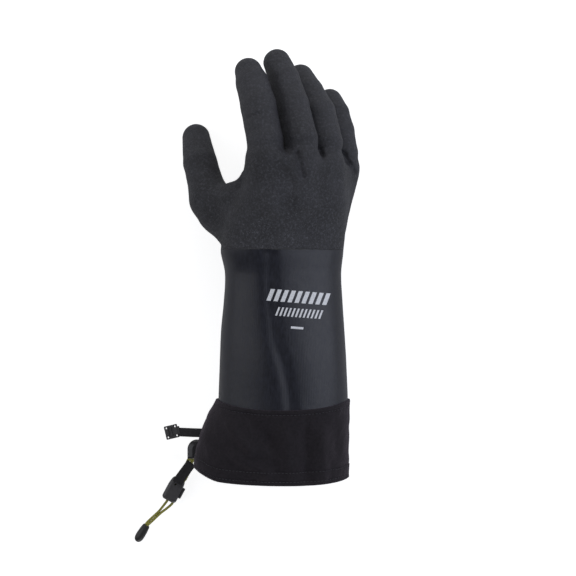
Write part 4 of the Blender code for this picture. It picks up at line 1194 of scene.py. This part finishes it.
def woven_cuff():
    """Grids of outer and inner points, distances round, from the hem and from the seam."""
    sections = []
    for share in np.linspace(0, 1, CUFF_ROWS):
        # straight sections give x and z, then the seam and hem curves place y
        x, z, out_x, out_z, around = cuff_outline(CUFF_TOP + (CUFF_BOTTOM - CUFF_TOP) * share)
        y = seam_y(z) + (hem_y(x, z) - seam_y(z)) * share
        sections.append((x, y, z, out_x, out_z, around))
    x, y, z, out_x, out_z, around = np.array(sections).transpose(1, 0, 2)
    points = np.stack([x, y, z], -1)
    flat = points.reshape(-1, 3)
    ripple = (0.35 * wave(flat, 31, 22.0) + 0.16 * wave(flat, 32, 9.0)).reshape(x.shape)
    from_hem, from_seam = y - hem_y(x, z), seam_y(z) - y
    lift = smooth(z / 10.0)
    calm = smooth(from_seam / 5.0)
    hem = smooth(from_hem / 3.0)
    push = (cuff_folds(x, y, z) + ripple * 1.2) * lift * calm * (0.55 + 0.45 * hem)
    # the rolled hem stands out a little, with a dent at each row of stitches
    push = push + 0.55 * smooth((HEM_BAND - from_hem) / 1.2) * lift
    for row in reversed(HEM_STITCHES):
        push = push - 0.38 * bell(from_hem - row, 0.9) * lift
    # the upper edge is turned under: a small rounded step above the sleeve
    push = (push + 0.25 * smooth((SEAM_STITCHES - from_seam) / 1.0)
            - 0.32 * bell(from_seam - SEAM_STITCHES, 0.8))
    outer = points.copy()
    outer[..., 0] += out_x * push
    outer[..., 2] = np.maximum(outer[..., 2] + out_z * push, 0.05)
    # between its stitch rows the hem is a double layer with the drawcord's channel inside
    channel = smooth((from_hem - 2.6) / 2.2) * smooth((11.0 - from_hem) / 2.2)
    wall = CLOTH + 3.7 * channel
    # along the seam the cloth is sewn down: its inner side reaches just into the sleeve
    near = smooth((5.6 - from_seam) / 2.2)
    gap = loft_field(outer.reshape(-1, 3)).reshape(x.shape)
    wall = wall + near * np.clip(gap + 0.9 - wall, 0.0, 9.0)
    inner = outer.copy()
    inner[..., 0] -= out_x * wall
    inner[..., 2] -= out_z * wall
    # the channel's inner layer is drawn smooth by the cord
    inner = inner + (even_out(inner, rounds=40, axis=1) - inner) * channel[..., None]
    inner_z, outer_z = inner[..., 2], outer[..., 2]
    inner[..., 2] = np.where(inner_z < outer_z, np.maximum(inner_z, 0.4), inner_z)
    return outer, inner, around, from_hem, from_seam


cuff_outer, cuff_inner, cuff_around, from_hem, from_seam = woven_cuff()


def cloth_sheet(name, first, last, replaced, slot):
    """Rows first to last of the cuff as one closed wall with rounded edges."""
    rows = slice(first, last + 1)
    outer, inner, around = cuff_outer[rows], cuff_inner[rows], cuff_around[rows]
    first_edge = (outer[0] + inner[0]) / 2 + unit(outer[0] - outer[1]) * 0.45
    last_edge = (outer[-1] + inner[-1]) / 2 + unit(outer[-1] - outer[-2]) * 0.45
    rings = np.concatenate([outer, last_edge[None], inner[::-1], first_edge[None]])
    girth = np.concatenate([around, around[-1:], around[::-1], around[:1]]).reshape(-1)
    points = rings.reshape(-1, 3)
    faces = orient(points, grid_faces(len(rings), CUFF_COLUMNS, looped=True))
    attach(make_object(name, points, faces, WOVEN, girth=girth), "gauntlet", slot, replaced)


cloth_sheet("cuff_seam_band", 0, SEAM_ROW, "cuff_seam_binding", "binding")
cloth_sheet("cuff_cloth", SEAM_ROW, HEM_ROW, "cuff_skirt", "woven")
cloth_sheet("cuff_hem", HEM_ROW, CUFF_ROWS - 1, "hem_channel", "woven")


def level_line(grid, distances, wanted):
    """For each column of a cuff grid, the point whose distance is nearest the one wanted."""
    return grid[np.abs(distances - wanted).argmin(0), np.arange(CUFF_COLUMNS)]


def stitch_row(name, distances, wanted, radius):
    """A row of small raised stitches at this level of the cuff."""
    line = level_line(cuff_outer, distances, wanted)
    loop = np.vstack([line, line[:1]])
    run = np.concatenate([[0], np.cumsum(np.linalg.norm(np.diff(loop, axis=0), axis=1))])
    count = int(run[-1] / STITCH_PITCH)
    centre = np.array([line[:, 0].mean(), 0, 44.0])
    lift = np.array([-0.10, 0.16, 0.26, 0.16, -0.10])
    radii = [radius * 0.6, radius, radius, radius, radius * 0.6]
    parts = []
    for k in range(count):
        along = k * run[-1] / count + np.array([0, 0.2, 0.5, 0.8, 1.0]) * STITCH_LENGTH
        path = np.stack([np.interp(along, run, loop[:, axis]) for axis in range(3)], 1)
        if path[2][2] < 1.2:  # no stitches where the cuff lies on the bench
            continue
        way = path[2] - centre
        way[1] = 0
        parts.append(tube(path + unit(way) * lift[:, None], radii, 6)[:2])
    points, faces = join(parts)
    attach(make_object(name, points, orient(points, faces), THREAD), "gauntlet", "woven")


stitch_row("seam_stitches", from_seam, SEAM_STITCHES, radius=0.26)
stitch_row("hem_stitches_upper", from_hem, HEM_STITCHES[1], radius=0.24)
stitch_row("hem_stitches_lower", from_hem, HEM_STITCHES[0], radius=0.24)


def hem_cord(radius=0.95, sides=10):
    """The drawcord, in the channel midway between the hem's two rows of stitches."""
    middle = (cuff_outer + cuff_inner) / 2
    loop = even_out(level_line(middle, from_hem, 6.8), rounds=3, axis=0)
    tangent = unit(np.roll(loop, -1, 0) - np.roll(loop, 1, 0))
    side = unit(Y_AXIS - (Y_AXIS * tangent).sum(1)[:, None] * tangent)
    up = np.cross(side, tangent)
    angles = (TAU * np.arange(sides) / sides)[None, :, None]
    ring = np.cos(angles) * side[:, None] + np.sin(angles) * up[:, None]
    points = (loop[:, None] + radius * ring).reshape(-1, 3)
    faces = orient(points, grid_faces(len(loop), sides, looped=True))
    obj = make_object("hem_elastic", points, faces, CLIP)
    attach(obj, "gauntlet", "elastic", "hem_drawcord")


hem_cord()

# ------------------------------------------------------------------ print on the sleeve
PRINT_TILT = math.radians(-4.5)
PRINT_LIFT = 0.10  # above the skin
PRINT_GRID = 0.9
# rows of plain blocks: x, y, row height, slant, count, pitch, block width,
# and the block's lower edge and height as shares of the row height
PRINT_ROWS = [
    (-13.2, 145.8, 9.6, 0.30, 9, 5.6, 3.4, 0.0, 1.0),
    (-6.2, 133.8, 7.0, 0.30, 12, 3.15, 1.5, 0.0, 1.0),
    (6.2, 121.6, 6.0, 0.0, 1, 0.0, 10.0, 0.3, 0.30),
]


def tilted(x, y, right, up):
    """The point so far right of and up from (x, y) on the tilted print."""
    cosine, sine = math.cos(PRINT_TILT), math.sin(PRINT_TILT)
    return x + right * cosine - up * sine, y + right * sine + up * cosine


def print_block(x, y, width, height, slant):
    """Flat grid of (x, y) points and its faces, with its lower left corner at (x, y)."""
    corners = [(0, 0), (width, 0), (width + slant * height, height), (slant * height, height)]
    first, second, third, fourth = (np.array(tilted(x, y, *corner)) for corner in corners)
    columns = max(2, int(np.linalg.norm(second - first) / PRINT_GRID) + 1)
    rows = max(2, int(np.linalg.norm(fourth - first) / PRINT_GRID) + 1)
    right, up = np.meshgrid(np.linspace(0, 1, columns), np.linspace(0, 1, rows), indexing="ij")
    right, up = right[..., None], up[..., None]
    points = (first * ((1 - right) * (1 - up)) + second * (right * (1 - up))
              + third * (right * up) + fourth * ((1 - right) * up))
    return points.reshape(-1, 2), grid_faces(columns, rows, closed=False)[:, ::-1]


def sleeve_print():
    parts = []
    for x, y, height, slant, count, pitch, width, low, tall in PRINT_ROWS:
        for k in range(count):
            corner = tilted(x, y, pitch * k, low * height)
            parts.append(print_block(*corner, width, tall * height, slant))
    flat, faces = join(parts)
    # drops the points from above onto the sleeve
    points = np.column_stack([flat, np.full(len(flat), 104.0)])
    for _ in range(60):
        points[:, 2] -= np.clip(field(points), -2, 6) * 0.8
    normals = unit(gradient(field, points))
    obj = make_object("sleeve_print", points + normals * PRINT_LIFT, faces, PRINT, normals)
    attach(obj, "gauntlet", "gauntlet_skin")


sleeve_print()


# ------------------------------------------------------------------ helpers for the hardware
def ribbon(path, side_hint, width, thick, corner=0.6):
    """A flat band with rounded edges along a path; side_hint is the direction of its width."""
    outline = []
    for x_sign, y_sign, first in ((1, 1, 0), (-1, 1, 90), (-1, -1, 180), (1, -1, 270)):
        for k in range(5):
            angle = math.radians(first + 90 * k / 4)
            outline.append((x_sign * (width / 2 - corner) + corner * math.cos(angle),
                            y_sign * (thick / 2 - corner) + corner * math.sin(angle)))
    outline = np.array(outline)
    tangents = tangents_of(path)
    rings = []
    for centre, tangent in zip(path, tangents):
        side = unit(side_hint - np.dot(side_hint, tangent) * tangent)
        up = np.cross(side, tangent)
        rings.append(centre + outline[:, :1] * side + outline[:, 1:] * up)
    start, end = (path[k] + (rings[k] - path[k]) * 0.6 for k in (0, -1))
    rings = [start - tangents[0] * 0.3, *rings, end + tangents[-1] * 0.3]
    count = len(outline)
    last = (len(rings) - 1) * count
    here, beside = np.arange(1, count - 1), np.arange(2, count)
    points = np.concatenate(rings)
    faces = np.concatenate([grid_faces(len(rings), count), triangles(0, beside, here),
                            triangles(last, last + here, last + beside)])
    return points, orient(points, faces)


def rounded(local, half, corner):
    """Distance to a box with rounded edges, in its own axes."""
    past = np.abs(local) - (np.asarray(half, float) - corner)
    return np.linalg.norm(np.maximum(past, 0), axis=1) + np.minimum(past.max(1), 0) - corner


def carved(name, function, centre, axes, reach, step, material, body, replaced, slot):
    """A small moulded part from a field in its own axes."""
    reach = np.asarray(reach, float)
    points, quads = polygonise(function, -reach, reach, step)
    points = settle(function, points, steps=2, most=0.3 * step)
    normals = unit(gradient(function, points, 0.08))
    axes = np.array(axes)
    if np.linalg.det(axes) < 0:
        quads = quads[:, ::-1]
    obj = make_object(name, centre + points @ axes, quads, material, normals @ axes)
    attach(obj, body, slot, replaced)


# ------------------------------------------------------------------ clip strap
STRAP_DROP = math.radians(22.0)
STRAP_OUT = np.array([-math.cos(STRAP_DROP), 0.0, -math.sin(STRAP_DROP)])
STRAP_LIFT = np.array([-math.sin(STRAP_DROP), 0.0, math.cos(STRAP_DROP)])
STRAP_ROOT = np.array([-63.6, 34.8, 25.0])
STRAP_LENGTH, CLIP_SIZE = 24.0, 11.4
CLIP_TWIST = math.radians(14.0)


def strap_band():
    share = np.linspace(0, 1, 30)[:, None]
    path = (STRAP_ROOT + STRAP_OUT * (-1.8 + (STRAP_LENGTH + 3.1) * share)
            + STRAP_LIFT * (1.2 * np.sin(math.pi * share)))
    points, faces = ribbon(path, Y_AXIS, width=7.4, thick=1.4)
    obj = make_object("strap_band", points, faces, WEBBING)
    attach(obj, "strap", "webbing", "strap_webbing")


def clip_field(points):
    """A square plate with a lug, four round holes and two long recesses in its upper face."""
    x, y, _ = points.T
    half = CLIP_SIZE / 2
    shape = rounded(points, (half, half, 1.1), 0.55)
    # the lug that the webbing's end is stitched round
    lug = rounded(points - np.array([-half - 0.6, 0.0, 0.0]), (1.1, 3.5, 0.9), 0.6)
    shape = soft_min(shape, lug, 0.6)
    for i in (-1, 1):
        for j in (-1, 1):
            hole = 0.80 - np.hypot(x - 3.9 * i, y - 3.9 * j)
            shape = soft_max(shape, hole, 0.5)
        recess = rounded(points - np.array([1.45 * i, 0.0, 1.2]), (0.72, 3.7, 0.7), 0.3)
        shape = soft_max(shape, -recess, 0.5)
    return shape


def strap_clip():
    hinge = STRAP_ROOT + STRAP_OUT * (STRAP_LENGTH + 1.6)
    face = unit(STRAP_OUT * 0.6 - X_AXIS * 0.4)
    along = unit(face * math.cos(CLIP_TWIST) - Y_AXIS * math.sin(CLIP_TWIST))
    side = unit(face * math.sin(CLIP_TWIST) + Y_AXIS * math.cos(CLIP_TWIST))
    up = unit(np.cross(side, along))
    carved("strap_clip_plate", clip_field, hinge + face * (CLIP_SIZE / 2 + 0.9),
           (along, side, up), reach=(8, 7, 2), step=0.3, material=CLIP,
           body="clip", replaced="strap_clip", slot="plastic")


strap_band()
strap_clip()

# ------------------------------------------------------------------ cord outlet
OUTLET_CENTRE, OUTLET_RADIUS = np.array([-72.0, 21.4, 24.0]), 7.8


def outlet_field(points):
    """A hood: round towards +Y, with straight sides to a flat -Y edge that has the cord's bore."""
    x, y, z = points.T
    plan = np.where(y > 0, np.hypot(x, y) - OUTLET_RADIUS,
                    np.maximum(np.abs(x) - OUTLET_RADIUS, -y - 8.0))
    plan = soft_max(plan, x - 2.2, 1.0)
    # the faces fall away from the middle towards the edges
    high = np.abs(z) - 4.5 + 1.1 * smooth((np.hypot(x, np.maximum(y, 0)) - 3.0) / 5.5)
    bore = soft_max(np.hypot(x + 1.6, z) - 1.6, y - 2.0, 0.3)
    return soft_max(soft_max(plan, high, 2.4), -bore, 0.4)


carved("cord_outlet_hood", outlet_field, OUTLET_CENTRE, np.eye(3), reach=(9, 10, 6), step=0.4,
       material=GLOSSY, body="gauntlet", replaced="cord_outlet_tab", slot="plastic")

# ------------------------------------------------------------------ cord lock
LOCK_AXIS = unit([-0.474, -0.880, 0.0])
LOCK_ACROSS = np.array([-LOCK_AXIS[1], LOCK_AXIS[0], 0.0])
LOCK_AXES = (LOCK_AXIS, LOCK_ACROSS, Z_AXIS)
LOCK_CENTRE = np.array([-92.2, -14.2, 8.0])
LOCK_HALF = (10.5, 6.5, 4.8)
BORES = {"left": -0.6, "right": 4.2}  # places of the cord's bores, across the lock
TAB_ROOT = np.array([-77.0, 8.8, 17.0])


def lock_tab():
    """The webbing from the cuff to the top of the case."""
    edge = LOCK_CENTRE - LOCK_AXIS * LOCK_HALF[0] + Z_AXIS * 5.2
    path = catmull([
        TAB_ROOT,
        TAB_ROOT * 0.5 + edge * 0.5 - Z_AXIS * 0.3,
        edge + LOCK_AXIS * 0.6,
        LOCK_CENTRE - LOCK_AXIS * 6.6 + Z_AXIS * 5.45,
    ], 40)
    points, faces = ribbon(path, LOCK_ACROSS, width=8.6, thick=1.3)
    obj = make_object("lock_tab_band", points, faces, WEBBING)
    attach(obj, "lock", "webbing", "lock_tab_webbing")


def lock_field(points):
    """The case; x lies along the lock, y across it, z up."""
    x, y, z = points.T
    narrow = 1.0 - 0.16 * smooth((-x - 2.0) / 9.0)
    shape = rounded(np.stack([x, y / narrow, z], 1), LOCK_HALF, 2.9) * 0.9
    pocket = -rounded(np.stack([x, y - 2.4, z], 1), (5.2, 7.7, 3.1), 0.5)
    shape = soft_max(shape, pocket, 0.5)
    for place in BORES.values():
        bore = 1.55 - np.hypot(y - place, z)
        shape = soft_max(shape, bore, 0.6)
    eye = soft_max(np.hypot(x + 5.0, y + 0.8) - 0.9, 2.2 - z, 0.3)
    shape = soft_max(shape, -eye, 0.4)
    # a shallow step between the moulded halves
    return shape + 0.16 * bell(z, 0.35)


def button_field(points):
    """A block with a window through it, and five grooves at its outer end."""
    x, y, z = points.T
    shape = rounded(np.stack([x, y - 3.05, z], 1), (4.6, 5.45, 2.6), 0.7)
    window = -rounded(np.stack([x, y - 2.7, z], 1), (9.0, 4.55, 1.40), 0.3)
    shape = soft_max(shape, window, 0.4)
    for k in (-2, -1, 0, 1, 2):
        shape = shape + 0.16 * bell(x - 1.5 * k, 0.35) * smooth((y - 7.2) / 0.8)
    return shape


lock_tab()
carved("cord_lock_case", lock_field, LOCK_CENTRE, LOCK_AXES, reach=(11.5, 8, 6), step=0.42,
       material=LOCK, body="lock", replaced="cord_lock_body", slot="lock_plastic")
carved("cord_lock_push", button_field, LOCK_CENTRE, LOCK_AXES, reach=(5.5, 10, 3.5), step=0.35,
       material=BUTTON, body="lock_button", replaced="cord_lock_button", slot="plastic")

# ------------------------------------------------------------------ cord
CORD_RADIUS = 1.05
CORD_SIDES = 14
SLEEVE_OUTER, SLEEVE_INNER = 1.42, 1.16  # radii of the hollow braid behind the lock
KNOT, MEETING = np.array([-114.6, -43.4, 5.6]), np.array([-104.2, -33.6, 6.4])
BORE_MOUTH = OUTLET_CENTRE + np.array([-1.6, -6.5, 0.0])
END_WAY = unit([-0.53, -0.85, -0.06])
# the end cap's outline: distance along, radius
END_CAP_PROFILE = [
    (0.0, 2.3), (0.25, 2.75), (0.9, 3.05), (2.4, 3.25), (4.0, 3.5), (7.5, 3.72),
    (10.5, 3.8), (13.0, 3.55), (14.6, 3.0), (15.7, 2.1), (16.3, 1.1), (16.5, 0.2),
]
# the knot's outline: distance past KNOT, radius
KNOT_PROFILE = [(-1.1, 1.1), (-0.7, 1.75), (0.1, 2.05), (1.0, 1.95), (2.0, 1.8), (3.0, 1.7)]


def cord_strand(label, side):
    """Straight through the lock; then the strands run together and lie side by side."""
    in_bore = LOCK_CENTRE + LOCK_ACROSS * BORES[label]
    run = unit(KNOT - MEETING)
    apart = np.array([-run[1], run[0], 0.0]) * side * (CORD_RADIUS + 0.03)
    bend = in_bore + LOCK_AXIS * 12.0
    before_bend = bend - LOCK_AXIS * 3.0
    path = np.concatenate([
        np.linspace(in_bore - LOCK_AXIS * 24.0, before_bend, 40)[:-1],
        catmull([
            before_bend,
            bend,
            (bend + MEETING + apart) / 2 + LOCK_AXIS * 0.5,
            MEETING + apart,
            (MEETING + KNOT) / 2 + apart,
            KNOT + apart - run * 0.4,
        ], 60),
    ])
    keep = np.concatenate([[True], np.linalg.norm(np.diff(path, axis=0), axis=1) > 0.05])
    points, faces, around, along = tube(path[keep], CORD_RADIUS, CORD_SIDES)
    obj = make_object(f"cord_braid_{label}", points, orient(points, faces), CORD,
                      around=around, along=along)
    attach(obj, "cord", "cord", f"cord_strand_{label}")


def cord_feed(label):
    """A hollow braid from the hood to the back of the lock, round a strand's spare length."""
    in_bore = LOCK_CENTRE + LOCK_ACROSS * BORES[label]
    back = in_bore - LOCK_AXIS * 11.2
    far = in_bore - LOCK_AXIS * 22.0
    path = catmull([
        BORE_MOUTH,
        BORE_MOUTH + np.array([-0.6, -3.4, -3.0]),
        (BORE_MOUTH + far) / 2 + np.array([-0.8, 2.0, -2.4]),
        far,
        (far + back) / 2,
        back,
    ], 70)
    outside, wall, around, along = tube(path, SLEEVE_OUTER, CORD_SIDES, cap=False)
    inside = tube(path, SLEEVE_INNER, CORD_SIDES, cap=False)[0]
    count = len(outside)
    here = np.arange(CORD_SIDES)
    beside = (here + 1) % CORD_SIDES
    end = np.stack([here, beside, count + beside, count + here], 1)
    points = np.vstack([outside, inside])
    faces = np.concatenate([wall, wall[:, ::-1] + count, end[:, ::-1],
                            end + (len(path) - 1) * CORD_SIDES])
    obj = make_object(f"cord_feed_{label}", points, orient(points, faces), CORD,
                      around=np.tile(around, 2), along=np.tile(along, 2))
    attach(obj, ("gauntlet", "lock"), "cord", bend=(BORE_MOUTH, far))


def cord_end():
    """The knot, and the cap over it."""
    side = np.cross(Z_AXIS, END_WAY)
    path = np.array([KNOT + END_WAY * distance for distance, _ in KNOT_PROFILE])
    points, faces, around, along = tube(path, [radius for _, radius in KNOT_PROFILE], 20,
                                        start_side=side)
    knot = make_object("cord_knot", points, orient(points, faces), CORD,
                       around=around, along=along)
    attach(knot, "cord_end", "cord")
    profile = catmull(END_CAP_PROFILE, 60)
    path = KNOT + END_WAY * 1.6 + END_WAY * profile[:, :1]
    points, faces, _, _ = tube(path, profile[:, 1], 32, start_side=side)
    cap = make_object("cord_end_cap", points, orient(points, faces), END_CAP)
    attach(cap, "cord_end", "plastic", "cord_end")


cord_strand("left", side=-1)
cord_strand("right", side=1)
for label in BORES:
    cord_feed(label)
cord_end()


def lock_coil():
    """The spring keeps the CAD's coil."""
    spring = frame["nodes"]["lock_spring"]
    coil = bpy.data.objects.new("lock_coil", spring.data.copy())
    bpy.context.scene.collection.objects.link(coil)
    bpy.context.view_layer.update()
    coil.matrix_world = spring.matrix_world.copy()
    coil.data.materials.clear()
    coil.data.materials.append(STEEL)
    wire = np.array([coil.matrix_world @ vertex.co for vertex in coil.data.vertices])
    depth = wire @ LOCK_ACROSS
    attach(coil, "lock", "steel", "lock_spring")
    tuple(wire[depth.argmin()])
    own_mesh(coil)


lock_coil()

# ------------------------------------------------------------------ floor, light, camera
MIDDLE = (0.0, 155.0, 50.0)


def studio_floor():
    """A pale floor that looks brighter to the camera than it shines on the glove."""
    mat = Material("studio_floor")
    seen = mat.node("ShaderNodeLightPath").outputs["Is Camera Ray"]
    mat.put(mat.shader.inputs["Emission Color"], (1, 1, 1, 1))
    mat.put(mat.shader.inputs["Emission Strength"], mat.line(seen, factor=0.70, offset=0.12))
    mat.finish(colour=(0.62, 0.62, 0.62), rough=0.9, Specular_IOR_Level=0.1)
    bpy.ops.mesh.primitive_plane_add(size=12.0, location=metres((0, 150, -0.8)))
    floor = bpy.context.object
    floor.name = "studio_floor"
    floor.data.materials.append(mat.material)


def softbox(name, place, size_m, power, colour=(1, 1, 1)):
    """A rectangular lamp aimed at the middle of the glove."""
    data = bpy.data.lights.new(name, "AREA")
    data.shape = "RECTANGLE"
    data.size, data.size_y = size_m
    data.energy = power
    data.color = colour
    obj = bpy.data.objects.new(name, data)
    bpy.context.scene.collection.objects.link(obj)
    place, target = Vector(metres(place)), Vector(metres(MIDDLE))
    obj.location = place
    obj.rotation_euler = (target - place).to_track_quat("-Z", "Y").to_euler()


def studio_world():
    """The sky lights the glove dimly but looks as pale as the floor."""
    world = bpy.data.worlds.new("studio")
    bpy.context.scene.world = world
    world.use_nodes = True
    tree = world.node_tree
    background = tree.nodes["Background"].inputs
    background["Color"].default_value = (0.90, 0.93, 1.0, 1.0)
    light_path = tree.nodes.new("ShaderNodeLightPath")
    brightness = tree.nodes.new("ShaderNodeMath")
    brightness.operation = "MULTIPLY_ADD"
    seen_gain, base_strength = 0.92, 0.14
    brightness.inputs[1].default_value = seen_gain
    brightness.inputs[2].default_value = base_strength
    tree.links.new(light_path.outputs["Is Camera Ray"], brightness.inputs[0])
    tree.links.new(brightness.outputs[0], background["Strength"])


def camera():
    """Looks straight down on the glove."""
    data = bpy.data.cameras.new("photo_camera")
    data.sensor_width = 36.0
    data.lens = 106.7
    obj = bpy.data.objects.new("photo_camera", data)
    bpy.context.scene.collection.objects.link(obj)
    obj.location = metres((4.1, 155.8, 1450.0))
    obj.rotation_euler = (0.0, 0.0, 0.0)
    bpy.context.scene.camera = obj


studio_floor()
softbox("key_right", place=(1150, 250, 900), size_m=(0.9, 1.9), power=9.9,
        colour=(0.84, 0.880, 1.0))
softbox("fill_left", place=(-1150, 200, 900), size_m=(0.8, 1.9), power=5.2,
        colour=(0.94, 0.95, 1.0))
softbox("far_end", place=(-100, 1500, 900), size_m=(1.4, 0.7), power=7.4)
softbox("near_end", place=(60, -1250, 150), size_m=(1.2, 0.24), power=5.0)
studio_world()
camera()
bpy.context.scene.view_settings.view_transform = "Standard"
